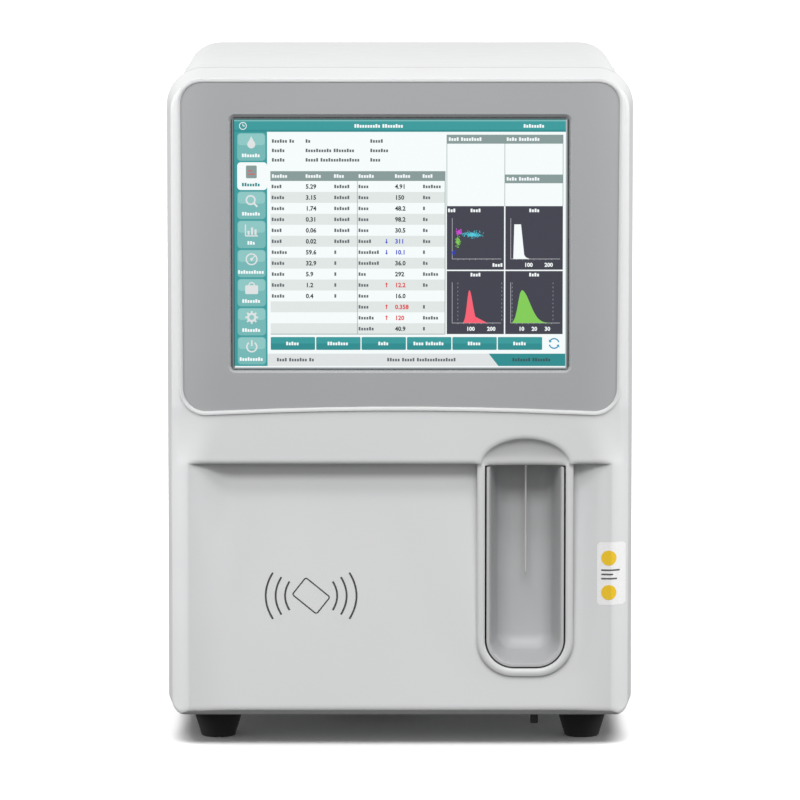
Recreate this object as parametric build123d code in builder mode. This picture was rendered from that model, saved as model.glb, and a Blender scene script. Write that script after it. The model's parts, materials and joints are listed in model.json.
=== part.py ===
# Bench hematology analyzer: touch screen, open-vial sample probe, side service door.
# Frame: X to the user's right, front towards -Y, Z up from the table. Millimetres.
from build123d import *
from math import cos, radians, sin, sqrt
import os

os.makedirs("parts", exist_ok=True)

# Overall size
overall_width = 350
overall_depth = 435
overall_height = 505
lip_proud = 1
fitting_reach = 17.5
front_y = -overall_depth / 2 + lip_proud
rear_y = overall_depth / 2 - fitting_reach
foot_height = 20
sheet = 1.5
base_top = foot_height + 2
door_gap = 0.3
slide_clearance = 0.05

# Front cover
cover_depth = 55
cover_rear_y = front_y + cover_depth
cover_wall = 3.5
cover_half = overall_width / 2
cover_front_half = 169.5
cover_front_top = 499.2
cover_corner = 28
cover_front_corner = 24
cover_foot_corner = 9
chamfer_top = 26.5
rim_width = 9
rim_thickness = 2.5

# Plan shape of the cover: shallow roll beside the display, tighter roll at the chin
display_flat = 128
display_edge = (164, 5.5)
chin_flat = 147
chin_edge = (168, 10)
chin_z = 212
display_blend_z = 254
recess_depth = 16
recess_flat = 122
recess_end = 158
foot_setback = 1

# Display
display_z = 376.8
bezel_half_top = 163.2
bezel_half_bottom = 161.5
bezel_top = 496.9
bezel_bottom_corner = 250.7
bezel_bottom_middle = 255.2
bezel_corner = 16.5
bezel_proud = 0.6
bezel_back = 2
bezel_ledge = 7
lip_width = 3
window_width = 251
window_height = 188
window_bevel = 2.4
glass_thickness = 3
lcd_width = 279
lcd_height = 209
lcd_thickness = 10
lcd_board = 6

# Sample niche
niche_x = 93.6
niche_half = 30.2
niche_bottom = 57.5
niche_top = 210.4
niche_radius = 21.7
collar_width = 5.7
collar_setback = 1.5
collar_depth = 20
tunnel_wall = 3
tunnel_end = 52
ceiling = 3
hood_half = 33.3
hood_rise = 20.6
hood_depth = 8

# Aspirate key
key_gap = 1.3
key_back = 46.5
key_taper = 10
key_wall = 2
key_travel = 2.5
key_boss = 6
key_pin_z = (90, 180)
guide_front = 56
guide_thickness = 2

# Probe
probe_x = 94.5
probe_y = front_y + 34
probe_tip = 123.7
probe_diameter = 1.8
lift_y = front_y + 76.5
lift_bottom = 232
lift_top = 392
lift_plate = 3
lift_rod = 6
lift_rod_offset = 22
screw_diameter = 8
screw_journal = 5
carriage_bottom = 250
carriage_height = 22

# Enclosure
case_half = 171.5
case_corner = 27
skirt_bottom = 470
door_sheet = 1.2
hinge_x = 172.5
hinge_radius = 2.5
hinge_y = rear_y - hinge_radius
hinge_heights = (70, 245, 420)
knuckle = 14
partition_x = 40
shelf_z = 300

# Rear fittings
fan_x = -90
fan_z = 390
fan_size = 80
fan_depth = 25
inlet_x = -125
inlet_z = 100
data_x = -10
data_z = 250
reagent_x = 118
reagent_heights = (110, 145, 180, 215)


def front_plane(y):
    """Upright plane at depth y that faces the user, so extruding comes forward."""
    return Plane.XZ.offset(-y)


def side_plane(x):
    """Upright plane at distance x that faces right; its own axes run along Y and Z."""
    return Plane.YZ.offset(x)


def block(x, y, z, mode=Mode.ADD):
    """Box between three pairs of limits."""
    with Locations(((x[0] + x[1]) / 2, (y[0] + y[1]) / 2, (z[0] + z[1]) / 2)):
        Box(x[1] - x[0], y[1] - y[0], z[1] - z[0], mode=mode)


def bar_x(x, y, z, diameter, mode=Mode.ADD):
    """Round bar along X between a pair of limits."""
    with Locations(((x[0] + x[1]) / 2, y, z)):
        Cylinder(diameter / 2, x[1] - x[0], rotation=(0, 90, 0), mode=mode)


def bar_y(x, y, z, diameter, mode=Mode.ADD):
    """Round bar along Y between a pair of limits."""
    with Locations((x, (y[0] + y[1]) / 2, z)):
        Cylinder(diameter / 2, y[1] - y[0], rotation=(90, 0, 0), mode=mode)


def post(x, y, z, diameter, mode=Mode.ADD):
    """Round bar along Z between a pair of limits."""
    with Locations((x, y, (z[0] + z[1]) / 2)):
        Cylinder(diameter / 2, z[1] - z[0], mode=mode)


def centred(middle, size):
    """Pair of limits around a middle."""
    return (middle - size / 2, middle + size / 2)


def rim_outline(setback, half, top, bottom, top_radius, bottom_radius):
    """Upright rounded outline of the cover at a depth behind its front plane."""
    with BuildSketch(front_plane(front_y + setback)) as sketch:
        with Locations((0, (top + bottom) / 2)):
            Rectangle(2 * half, top - bottom)
        fillet(sketch.vertices().group_by(Axis.Y)[-1], top_radius)
        fillet(sketch.vertices().group_by(Axis.Y)[0], bottom_radius)
    return sketch.sketch


def drafted_rim(inset):
    """Drafted rounded block that bounds the cover; inset gives its inner wall."""
    front = rim_outline(
        -lip_proud, cover_front_half - inset, cover_front_top - inset, base_top + inset,
        cover_front_corner - inset, cover_foot_corner - inset,
    )
    rear = rim_outline(
        cover_depth, cover_half - inset, overall_height - inset, base_top + inset,
        cover_corner - inset, cover_foot_corner - inset,
    )
    return loft([front, rear], ruled=True, mode=Mode.PRIVATE)


recess_slope = (recess_depth - foot_setback) / (chin_z - chamfer_top)


def roll_radius(flat, edge):
    """Radius of the arc that leaves the flat front and ends at the edge point."""
    return ((edge[0] - flat) ** 2 + edge[1] ** 2) / (2 * edge[1])


def roll_setback(x):
    """Setback of the chin's corner roll at distance x from the middle."""
    radius = roll_radius(chin_flat, chin_edge)
    return radius - sqrt(radius**2 - (x - chin_flat) ** 2)


def plan_section(z, inset, flat, edge, bevel, setback=None):
    """Plan outline of the cover at height z, drawn for the right half and mirrored."""
    y = front_y + inset
    back = front_y + cover_depth + 20
    side = cover_half + 15
    edge_y = y + edge[1]
    radius = roll_radius(flat, edge)
    middle_x = (flat + edge[0]) / 2
    with BuildSketch(Plane.XY.offset(z)) as sketch:
        with BuildLine():
            if setback is None:
                middle = (middle_x, y + radius - sqrt(radius**2 - (middle_x - flat) ** 2))
                Line((0, y), (flat, y))
                ThreePointArc((flat, y), middle, (edge[0], edge_y))
            else:
                end_y = y + roll_setback(recess_end)
                middle_x = (recess_end + edge[0]) / 2
                Line((0, y + setback), (recess_flat, y + setback))
                Spline(
                    (recess_flat, y + setback), (recess_end, end_y),
                    tangents=[(1, 0), (1, 0)],
                )
                ThreePointArc(
                    (recess_end, end_y), (middle_x, y + roll_setback(middle_x)),
                    (edge[0], edge_y),
                )
            rim_y = edge_y + (side - edge[0]) * bevel
            Line((edge[0], edge_y), (side, rim_y))
            Line((side, rim_y), (side, back))
            Line((side, back), (0, back))
            Line((0, back), (0, y + (setback or 0)))
        make_face()
        mirror(about=Plane.YZ)
    return sketch.sketch


def display_section(z, inset):
    return plan_section(z, inset, display_flat, display_edge, 0.6)


def chin_section(z, inset):
    return plan_section(z, inset, chin_flat, chin_edge, 1.2)


def recess_section(z, inset, setback):
    return plan_section(z, inset, chin_flat, chin_edge, 1.2, setback)


def cover_front(inset, chin_bottom):
    """Solid behind the cover's front surface, from the floor to above the top."""
    lofts = [
        (display_section(display_blend_z, inset), display_section(overall_height + 20, inset)),
        (chin_section(chin_bottom, inset), display_section(display_blend_z, inset)),
        (
            recess_section(0, inset, foot_setback - recess_slope * chamfer_top),
            recess_section(chin_bottom, inset, recess_depth),
        ),
    ]
    solid = loft(list(lofts[0]), ruled=True, mode=Mode.PRIVATE)
    for pair in lofts[1:]:
        solid += loft(list(pair), ruled=True, mode=Mode.PRIVATE)
    return solid


def depth_prism(outline, start, end):
    """Prism of an outline drawn on the front plane, between two setbacks."""
    return extrude(outline.moved(Location((0, end, 0))), amount=end - start, mode=Mode.PRIVATE)


def bezel_outline(margin=0):
    """Outline of the display bezel, wider at the top, with its bottom edge arched up."""
    with BuildSketch(front_plane(front_y)) as sketch:
        with BuildLine():
            Polyline(
                (-bezel_half_bottom, bezel_bottom_corner), (-bezel_half_top, bezel_top),
                (bezel_half_top, bezel_top), (bezel_half_bottom, bezel_bottom_corner),
            )
            ThreePointArc(
                (bezel_half_bottom, bezel_bottom_corner), (0, bezel_bottom_middle),
                (-bezel_half_bottom, bezel_bottom_corner),
            )
        make_face()
        fillet(sketch.vertices(), bezel_corner)
        if margin:
            offset(amount=margin)
    return sketch.sketch


def niche_outline(margin, top):
    """U-shaped outline of the sample niche; margin widens it and top closes it."""
    bottom = niche_bottom - margin
    with BuildSketch(front_plane(front_y)) as sketch:
        with Locations((niche_x, (top + bottom) / 2)):
            Rectangle(2 * (niche_half + margin), top - bottom)
        fillet(sketch.vertices().group_by(Axis.Y)[0], niche_radius + margin)
    return sketch.sketch


def window_outline(margin, setback, radius):
    """Rounded rectangle of the screen window at a setback."""
    with BuildSketch(front_plane(front_y + setback)) as sketch:
        with Locations((0, display_z)):
            RectangleRounded(window_width + 2 * margin, window_height + 2 * margin, radius)
    return sketch.sketch


def hood(margin):
    """Upper half of the ellipsoid that scoops the chin above the niche."""
    with BuildPart() as half:
        add(scale(
            Sphere(1, mode=Mode.PRIVATE),
            by=(hood_half + margin, hood_depth + margin, hood_rise + margin), mode=Mode.PRIVATE,
        ).moved(Location((niche_x, front_y, niche_top))))
        block(centred(niche_x, 100), centred(front_y, 60), (niche_top - 60, niche_top), Mode.SUBTRACT)
    return half.part


# Front surfaces shared by the cover, the bezel and their seats
front_outer = cover_front(0, chin_z)
front_inner = cover_front(cover_wall, chin_z + cover_wall)
bezel_seat = front_outer.moved(Location((0, bezel_back, 0)))
niche_cut = depth_prism(niche_outline(0, niche_top), -10, tunnel_end + 5)

# Hollow of the front cover, closed behind by its return flange
with BuildPart() as cover_cavity:
    add(front_inner & drafted_rim(cover_wall))
    block(
        (-cover_half, cover_half), (cover_rear_y - rim_thickness, cover_rear_y + 30),
        (0, overall_height), Mode.SUBTRACT,
    )

# Raised lip that frames the bezel
with BuildPart() as bezel_lip:
    add(front_outer.moved(Location((0, -lip_proud, 0))))
    add(bezel_seat, mode=Mode.SUBTRACT)
    add(drafted_rim(0), mode=Mode.INTERSECT)
    add(depth_prism(bezel_outline(lip_width), -5, 15), mode=Mode.INTERSECT)
    add(depth_prism(bezel_outline(), -5, 15), mode=Mode.SUBTRACT)

# Moulded front cover with chin, hood, collar and niche tunnel
card_x = -66.8
card_z = 110.5
card_board_setback = 28
card_boss_spacing = (50, 30)
rinse_bore = 14
with BuildPart() as front_cover:
    add(front_outer & drafted_rim(0))
    with BuildSketch(side_plane(-cover_half)):
        with BuildLine():
            Polyline(
                (front_y - 5, 0), (front_y - 5, chamfer_top - 4),
                (front_y + foot_setback, chamfer_top), (front_y + foot_setback + 6, base_top),
                (front_y + foot_setback + 6, 0), close=True,
            )
        make_face()
    extrude(amount=2 * cover_half, mode=Mode.SUBTRACT)
    add(cover_cavity.part, mode=Mode.SUBTRACT)
    with BuildSketch(front_plane(cover_rear_y)):
        with Locations((0, (overall_height + base_top) / 2)):
            RectangleRounded(
                2 * (cover_half - rim_width), overall_height - base_top - 2 * rim_width,
                cover_corner - rim_width,
            )
    extrude(amount=rim_thickness, mode=Mode.SUBTRACT)
    add(bezel_lip.part)
    add(depth_prism(bezel_outline(), -10, 15) - bezel_seat, mode=Mode.SUBTRACT)
    add(depth_prism(bezel_outline(-bezel_ledge), -10, 25), mode=Mode.SUBTRACT)
    add(depth_prism(niche_outline(collar_width, niche_top + ceiling), collar_setback, collar_depth))
    add(depth_prism(niche_outline(tunnel_wall, niche_top + ceiling), collar_depth, tunnel_end))
    add(hood(ceiling) - depth_prism(niche_outline(60, niche_top + 60), -20, 1))
    add(niche_cut, mode=Mode.SUBTRACT)
    add(hood(0), mode=Mode.SUBTRACT)
    post(probe_x, probe_y, (niche_top - 1, niche_top + ceiling + 1), rinse_bore, Mode.SUBTRACT)
    for dx in (-card_boss_spacing[0] / 2, card_boss_spacing[0] / 2):
        for dz in (-card_boss_spacing[1] / 2, card_boss_spacing[1] / 2):
            boss_front = front_y + foot_setback + recess_slope * (card_z + dz - chamfer_top) + 1.5
            bar_y(card_x + dx, (boss_front, front_y + card_board_setback), card_z + dz, 7)

# Grey display bezel with a bevelled window and bosses for the screen
lcd_front = front_y - bezel_proud + 0.8 + glass_thickness
lcd_ear_x = lcd_width / 2 + 6
lcd_ear_setback = 8
lcd_ear_heights = (display_z - 65, display_z + 65)
with BuildPart() as display_bezel:
    add(front_outer.moved(Location((0, -bezel_proud, 0))))
    add(bezel_seat, mode=Mode.SUBTRACT)
    add(depth_prism(bezel_outline(), -5, 15), mode=Mode.INTERSECT)
    add(depth_prism(window_outline(0, 0, 3), -10, 10), mode=Mode.SUBTRACT)
    add(
        loft(
            [window_outline(window_bevel, -bezel_proud, 3 + window_bevel), window_outline(0, 1.2, 3)],
            ruled=True, mode=Mode.PRIVATE,
        ),
        mode=Mode.SUBTRACT,
    )
    for x in (-lcd_ear_x, lcd_ear_x):
        for z in lcd_ear_heights:
            bar_y(x, (front_y + bezel_back, front_y + lcd_ear_setback), z, 7)

with BuildPart() as touch_glass:
    with BuildSketch(front_plane(lcd_front)):
        with Locations((0, display_z)):
            RectangleRounded(window_width - 0.4, window_height - 0.4, 2.8)
    extrude(amount=glass_thickness)

# Screen module: metal frame, mounting ears and driver board behind it
with BuildPart() as lcd_module:
    block((-lcd_width / 2, lcd_width / 2), (lcd_front, lcd_front + lcd_thickness),
          centred(display_z, lcd_height))
    fillet(lcd_module.edges().filter_by(Axis.Y), 2)
    board_y = lcd_front + lcd_thickness
    block(centred(0, lcd_width - 60), (board_y, board_y + 2), centred(display_z, lcd_height - 50))
    block(centred(-50, 60), (board_y + 2, board_y + lcd_board), centred(display_z + 30, 40))
    block(centred(50, 24), (board_y + 2, board_y + lcd_board), centred(display_z - 50, 10))
    for x in (-lcd_ear_x, lcd_ear_x):
        for z in lcd_ear_heights:
            side = 1 if x > 0 else -1
            limits = sorted((side * (lcd_width / 2 - 1), x + side * 5))
            block(limits, (front_y + lcd_ear_setback, front_y + lcd_ear_setback + 1.5), centred(z, 12))
            bar_y(x, (front_y + lcd_ear_setback - 1, front_y + lcd_ear_setback + 3), z, 3.2,
                  Mode.SUBTRACT)

# Contactless card reader board on the cover's bosses
with BuildPart() as card_reader_board:
    board_front = front_y + card_board_setback
    block(centred(card_x, 62), (board_front, board_front + 1.6), centred(card_z, 42))
    block(centred(card_x + 10, 12), (board_front + 1.6, board_front + 3.4), centred(card_z, 12))
    block(centred(card_x - 20, 8), (board_front + 1.6, board_front + 8), centred(card_z, 16))

# Concave aspirate key: tapered shell, open at the front and top, with guide bosses
key_back_y = front_y + key_back
key_back_radius = 11
key_pin = 4


def key_form(margin, back):
    """Tapered U-shaped form of the key, rounded at the back."""
    with BuildPart() as form:
        with BuildSketch(front_plane(front_y + collar_setback)):
            add(niche_outline(-margin, niche_top + 40).moved(Location((0, collar_setback, 0))))
        extrude(amount=collar_setback - back, taper=key_taper)
        fillet(form.faces().sort_by(Axis.Y)[-1].edges(), key_back_radius)
    return form.part


with BuildPart() as aspirate_key:
    add(key_form(key_gap, key_back))
    add(key_form(key_gap + key_wall, key_back - key_wall), mode=Mode.SUBTRACT)
    block(centred(niche_x, 100), (front_y - 5, front_y + 60), (niche_top - 1, niche_top + 60),
          Mode.SUBTRACT)
    for z in key_pin_z:
        bar_y(niche_x, (key_back_y - 0.5, key_back_y + key_boss), z, 7)
        bar_y(niche_x, (key_back_y + 0.3, key_back_y + key_boss + 1), z, key_pin + 2 * slide_clearance,
              Mode.SUBTRACT)

# Frame behind the tunnel that guides the key on two pins
guide_y = front_y + guide_front
with BuildPart() as key_guide_frame:
    add(depth_prism(niche_outline(tunnel_wall, niche_top + ceiling), guide_front,
                    guide_front + guide_thickness))
    add(depth_prism(niche_outline(tunnel_wall, niche_top + ceiling), tunnel_end, guide_front)
        - depth_prism(niche_outline(0, niche_top), tunnel_end - 1, guide_front))
    for z in key_pin_z:
        bar_y(niche_x, (key_back_y + key_travel + 1, guide_y), z, key_pin)

spring_wire = 0.9
spring_radius = 4.6
with BuildPart() as key_springs:
    for z in key_pin_z:
        coil_start = key_back_y + spring_wire / 2 + 0.05
        coil_end = guide_y - spring_wire / 2 - 0.05
        with BuildLine():
            coil = Helix((coil_end - coil_start) / 3, coil_end - coil_start, spring_radius,
                         center=(niche_x, coil_start, z), direction=(0, 1, 0))
        with BuildSketch(Plane(origin=coil @ 0, z_dir=coil % 0)):
            RegularPolygon(spring_wire / 2, 4)
        sweep(path=coil)

switch_front = key_back_y + key_travel + 1.5
with BuildPart() as key_switch:
    block(centred(niche_x, 13), (switch_front, guide_y), centred(135, 8))
    block(centred(niche_x + 3, 3), (switch_front - 1.2, switch_front), centred(135, 3))

# Base plate with side flanges, vent slots and a bore for the lock screw
left_in = -case_half + sheet
door_in = case_half - door_sheet
base_right = door_in - door_gap - 0.3
flange_height = 12
lock_x = 101
lock_y = front_y + 30
lock_thread = 4
with BuildPart() as base_plate:
    block((left_in, base_right), (cover_rear_y, rear_y - sheet), (foot_height, base_top))
    block((-163, 163), (front_y + 22, cover_rear_y), (foot_height, base_top))
    block((left_in, left_in + sheet), (cover_rear_y + 5, rear_y - 10),
          (base_top, base_top + flange_height))
    block((base_right - sheet, base_right), (-100, 100), (base_top, base_top + flange_height))
    post(lock_x, lock_y, (foot_height - 1, base_top + 1), lock_thread, Mode.SUBTRACT)
    with Locations((-20, -60, foot_height)):
        with GridLocations(14, 60, 5, 2):
            Box(6, 44, 10, mode=Mode.SUBTRACT)

# Knurled lock screw that holds the front cover to the base
with BuildPart() as cover_lock_screw:
    post(lock_x, lock_y, (12, foot_height), 6)
    post(lock_x, lock_y, (foot_height, base_top), lock_thread)

# Rear panel with openings, louvres and the fixed hinge knuckles
inner_half = case_half - sheet
inner_top = overall_height - sheet
rear_in = rear_y - sheet
fan_bore = 76
inlet_size = (62, 24)
inlet_body_x = inlet_x + 12
data_size = (60, 20)
port_thread = 10
hinge_pin = 2


def case_outline(inset, bottom):
    """Outline of the enclosure with rounded top corners, seen from the front."""
    top = overall_height - inset
    with BuildSketch(front_plane(rear_y)) as sketch:
        with Locations((0, (bottom + top) / 2)):
            Rectangle(2 * (case_half - inset), top - bottom)
        fillet(sketch.vertices().group_by(Axis.Y)[-1], case_corner - inset)
    return sketch.sketch


with BuildPart() as rear_panel:
    extrude(case_outline(sheet, foot_height), amount=sheet)
    bar_y(fan_x, (rear_in - 1, rear_y + 1), fan_z, fan_bore, Mode.SUBTRACT)
    block(centred(inlet_body_x, inlet_size[0] + 0.4), (rear_in - 1, rear_y + 1),
          centred(inlet_z, inlet_size[1] + 0.4), Mode.SUBTRACT)
    block(centred(data_x, data_size[0] + 0.4), (rear_in - 1, rear_y + 1),
          centred(data_z, data_size[1] + 0.4), Mode.SUBTRACT)
    for z in reagent_heights:
        bar_y(reagent_x, (rear_in - 1, rear_y + 1), z, port_thread, Mode.SUBTRACT)
    for row in range(6):
        block(centred(95, 70), (rear_in - 1, rear_y + 1), centred(330 + 12 * row, 4), Mode.SUBTRACT)
    for z in hinge_heights:
        block((inner_half - 2, hinge_x), (rear_in, rear_y), (z - knuckle, z))
        post(hinge_x, hinge_y, (z - knuckle, z), 2 * hinge_radius)
        post(hinge_x, hinge_y, (z - knuckle - 1, z + 1), hinge_pin, Mode.SUBTRACT)

# Upright partition between the fluid bay and the electronics bay
partition_left = partition_x - sheet
with BuildPart() as partition_plate:
    block((partition_left, partition_x), (cover_rear_y + 2, rear_in), (base_top, inner_top))
    bar_x((partition_left - 1, partition_x + 1), -100, 200, 24, Mode.SUBTRACT)
    bar_x((partition_left - 1, partition_x + 1), 40, 200, 24, Mode.SUBTRACT)
    bar_x((partition_left - 1, partition_x + 1), 150, 270, 24, Mode.SUBTRACT)

with BuildPart() as upper_shelf:
    block((left_in, partition_left), (-60, rear_in), (shelf_z, shelf_z + sheet))
    block((left_in, partition_left), (-60, -60 + sheet), (shelf_z - 12, shelf_z))
    bar_y(20, (-61, -57), shelf_z - 6, 6, Mode.SUBTRACT)

with BuildPart() as top_cover:
    extrude(case_outline(0, skirt_bottom), amount=rear_y - cover_rear_y)
    extrude(case_outline(sheet, skirt_bottom - 5), amount=rear_y - cover_rear_y, mode=Mode.SUBTRACT)

# Left panel with two groups of vent slots
with BuildPart() as left_panel:
    block((-case_half, left_in), (cover_rear_y, rear_y), (foot_height, skirt_bottom))
    for lowest in (90, 360):
        for row in range(7):
            block((-case_half - 1, left_in + 1), (55, 145), centred(lowest + 10 * row, 4), Mode.SUBTRACT)

# Side door with its knuckles and a finger recess at the front edge
door_bottom = foot_height + door_gap
door_top = skirt_bottom - door_gap
door_rear = hinge_y - hinge_radius - door_gap
door_front = cover_rear_y + door_gap
with BuildPart() as side_door:
    block((door_in, case_half), (door_front, door_rear), (door_bottom, door_top))
    for z in hinge_heights:
        block((door_in, case_half), (door_rear, hinge_y), (z + door_gap, z + knuckle))
        post(hinge_x, hinge_y, (z + door_gap, z + knuckle), 2 * hinge_radius)
        post(hinge_x, hinge_y, (z, z + knuckle + 1), hinge_pin + 2 * slide_clearance, Mode.SUBTRACT)
    with Locations((case_half, door_front, 250)):
        Cylinder(11, 10, rotation=(0, 90, 0), mode=Mode.SUBTRACT)
    with BuildSketch(side_plane(door_in)):
        with Locations((door_front + 14, 250)):
            SlotOverall(40, 3, rotation=90)
    extrude(amount=-8)

with BuildPart() as hinge_pins:
    for z in hinge_heights:
        post(hinge_x, hinge_y, (z - knuckle, z + knuckle), hinge_pin)

with BuildPart() as door_magnets:
    block((162, door_in - door_gap), (-150, -120), (base_top, base_top + 8))
    block((162, inner_half), (-150, -120), (skirt_bottom + 0.5, skirt_bottom + 8))
    block((162, door_in - door_gap), (-150, -120), (skirt_bottom - 8, skirt_bottom + 0.5))

# Four rubber feet
foot_x = 137.4
foot_front_y = front_y + 47
foot_rear_y = 165
foot_places = {
    "foot_front_left": (-foot_x, foot_front_y),
    "foot_front_right": (foot_x, foot_front_y),
    "foot_rear_left": (-foot_x, foot_rear_y),
    "foot_rear_right": (foot_x, foot_rear_y),
}
feet = {}
for foot_name, (x, y) in foot_places.items():
    with BuildPart() as foot:
        with Locations((x, y, foot_height / 2)):
            Cone(12.7, 18.75, foot_height)
        chamfer(foot.edges().sort_by(Axis.Z)[0], 0.8)
        post(x, y, (-1, 6), 10, Mode.SUBTRACT)
    feet[foot_name] = foot

# Probe lift: frame on the partition, two rods, screw, motor and carriage
rod_places = ((probe_x - lift_rod_offset, lift_y), (probe_x + lift_rod_offset, lift_y))
motor_size = 35
with BuildPart() as lift_frame:
    block((partition_x, partition_x + 2), (lift_y - 16, lift_y + 20),
          (lift_bottom, lift_top + lift_plate))
    for z in (lift_bottom, lift_top):
        block((partition_x, probe_x + 36), (lift_y - 16, lift_y + 20), (z, z + lift_plate))
    for x, y in rod_places:
        post(x, y, (lift_bottom - 1, lift_top + 10), lift_rod, Mode.SUBTRACT)
    post(probe_x, lift_y, (lift_bottom - 1, lift_top + 10), screw_journal + 2 * slide_clearance,
         Mode.SUBTRACT)

with BuildPart() as lift_rods:
    for x, y in rod_places:
        post(x, y, (lift_bottom, lift_top + lift_plate), lift_rod)

with BuildPart() as lift_motor:
    motor_bottom = lift_top + lift_plate
    block(centred(probe_x, motor_size), centred(lift_y, motor_size), (motor_bottom, motor_bottom + 34))
    chamfer(lift_motor.edges().filter_by(Axis.Z), 3)
    post(probe_x, lift_y, (motor_bottom - 1, motor_bottom + 8), screw_journal + 2 * slide_clearance,
         Mode.SUBTRACT)

with BuildPart() as lift_screw:
    post(probe_x, lift_y, (lift_bottom + lift_plate + 0.3, lift_top - 0.3), screw_diameter)
    post(probe_x, lift_y, (lift_bottom, motor_bottom + 7), screw_journal)

carriage_top = carriage_bottom + carriage_height
needle_bore = 3
with BuildPart() as probe_carriage:
    block(centred(probe_x, 64), (lift_y - 12, lift_y + 12), (carriage_bottom, carriage_top))
    fillet(probe_carriage.edges().filter_by(Axis.Z), 4)
    block(centred(probe_x, 14), (probe_y - 6, lift_y - 11), (carriage_bottom + 2, carriage_bottom + 12))
    for x, y in rod_places:
        post(x, y, (carriage_bottom - 1, carriage_top + 1), lift_rod + 2 * slide_clearance,
             Mode.SUBTRACT)
    post(probe_x, lift_y, (carriage_bottom - 1, carriage_top + 1),
         screw_diameter + 2 * slide_clearance, Mode.SUBTRACT)
    post(probe_x, probe_y, (carriage_bottom, carriage_top), needle_bore, Mode.SUBTRACT)

# Sample probe: thin steel tube with a tapered tip and a hub clamped in the carriage arm
hub_bottom = carriage_bottom + 12
with BuildPart() as sample_probe:
    post(probe_x, probe_y, (probe_tip + 3, carriage_bottom + 2), probe_diameter)
    with Locations((probe_x, probe_y, probe_tip + 1.5)):
        Cone(0.5, probe_diameter / 2, 3)
    post(probe_x, probe_y, (carriage_bottom + 2, hub_bottom), needle_bore)
    post(probe_x, probe_y, (hub_bottom, hub_bottom + 6), 6)
    post(probe_x, probe_y, (hub_bottom + 6, hub_bottom + 14), 2.4)

rinse_top = niche_top + ceiling + 14
with BuildPart() as probe_rinse_cup:
    post(probe_x, probe_y, (niche_top - 2, niche_top + ceiling), rinse_bore)
    post(probe_x, probe_y, (niche_top + ceiling, niche_top + ceiling + 2), rinse_bore + 6)
    post(probe_x, probe_y, (niche_top + ceiling + 2, rinse_top), rinse_bore + 1)
    bar_y(probe_x, (probe_y, probe_y + 14), rinse_top - 6, 3)
    post(probe_x, probe_y, (niche_top - 3, rinse_top + 1), 4, Mode.SUBTRACT)

# Ceramic shear valve: motor on the partition, fixed discs, turning disc between them
valve_y = -60
valve_z = 320
disc = 40
disc_thickness = 8
valve_motor_end = partition_x + 32
with BuildPart() as valve_motor:
    block((partition_x, valve_motor_end), centred(valve_y, 42), centred(valve_z, 42))
    chamfer(valve_motor.edges().filter_by(Axis.X), 4)
    bar_x((valve_motor_end - 10, valve_motor_end + 1), valve_y, valve_z, 6 + 2 * slide_clearance,
          Mode.SUBTRACT)

rotor_start = valve_motor_end + 8.2
rotor_end = rotor_start + disc_thickness
with BuildPart() as valve_stator:
    bar_x((valve_motor_end, valve_motor_end + 8), valve_y, valve_z, 60)
    bar_x((rotor_end + 0.2, rotor_end + 8), valve_y, valve_z, 60)
    for angle in (90, 210, 330):
        y = valve_y + 26 * cos(radians(angle))
        z = valve_z + 26 * sin(radians(angle))
        bar_x((valve_motor_end + 1, rotor_end + 1), y, z, 5)
    for angle in (30, 150, 270):
        y = valve_y + 14 * cos(radians(angle))
        z = valve_z + 14 * sin(radians(angle))
        bar_x((rotor_end + 7, rotor_end + 16), y, z, 3)
    bar_x((valve_motor_end - 1, valve_motor_end + 9), valve_y, valve_z, 6 + 2 * slide_clearance,
          Mode.SUBTRACT)

with BuildPart() as valve_rotor:
    bar_x((rotor_start, rotor_end), valve_y, valve_z, disc)
    bar_x((valve_motor_end - 9, rotor_start), valve_y, valve_z, 6)

# Counting baths on their bracket
bath_x = (80, 122)
bath_y = 0
bath_floor = 226
with BuildPart() as bath_bracket:
    block((partition_x, partition_x + 2), (-20, 20), (bath_floor - 30, bath_floor + 3))
    block((partition_x, 146), (-20, 20), (bath_floor, bath_floor + 3))
    for x in bath_x:
        post(x, bath_y, (bath_floor - 1, bath_floor + 4), 12, Mode.SUBTRACT)

with BuildPart() as counting_baths:
    for x in bath_x:
        post(x, bath_y, (bath_floor + 3, bath_floor + 53), 30)
        post(x, bath_y, (bath_floor - 8, bath_floor + 3), 8)
        post(x, bath_y, (bath_floor + 7, bath_floor + 54), 24, Mode.SUBTRACT)
        post(x, bath_y, (bath_floor - 9, bath_floor + 8), 3, Mode.SUBTRACT)
        bar_y(x, (bath_y + 13, bath_y + 24), bath_floor + 40, 5)
        bar_y(x, (bath_y + 11, bath_y + 25), bath_floor + 40, 2, Mode.SUBTRACT)

# Syringe drive: frame, two barrels, plungers on a crosshead, screw and motor
syringe_y = 100
syringe_x = 95
syringe_low = 200
syringe_high = 300
barrels = ((65, 16, 12), (125, 10, 6))
syringe_stroke = 40
crosshead_bottom = 244
crosshead_top = 256
guide_rod_x = 80
with BuildPart() as syringe_frame:
    block((partition_x, partition_x + 2), (syringe_y - 18, syringe_y + 18),
          (syringe_low, syringe_high + 3))
    for z in (syringe_low, syringe_high):
        block((partition_x, 140), (syringe_y - 18, syringe_y + 18), (z, z + 3))
    for x, outer, bore in barrels:
        post(x, syringe_y, (syringe_high - 1, syringe_high + 4), bore + 0.5, Mode.SUBTRACT)
    post(syringe_x, syringe_y, (syringe_low - 1, syringe_high + 4),
         screw_journal + 2 * slide_clearance, Mode.SUBTRACT)
    post(guide_rod_x, syringe_y, (syringe_low + 3, syringe_high), lift_rod)

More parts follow.
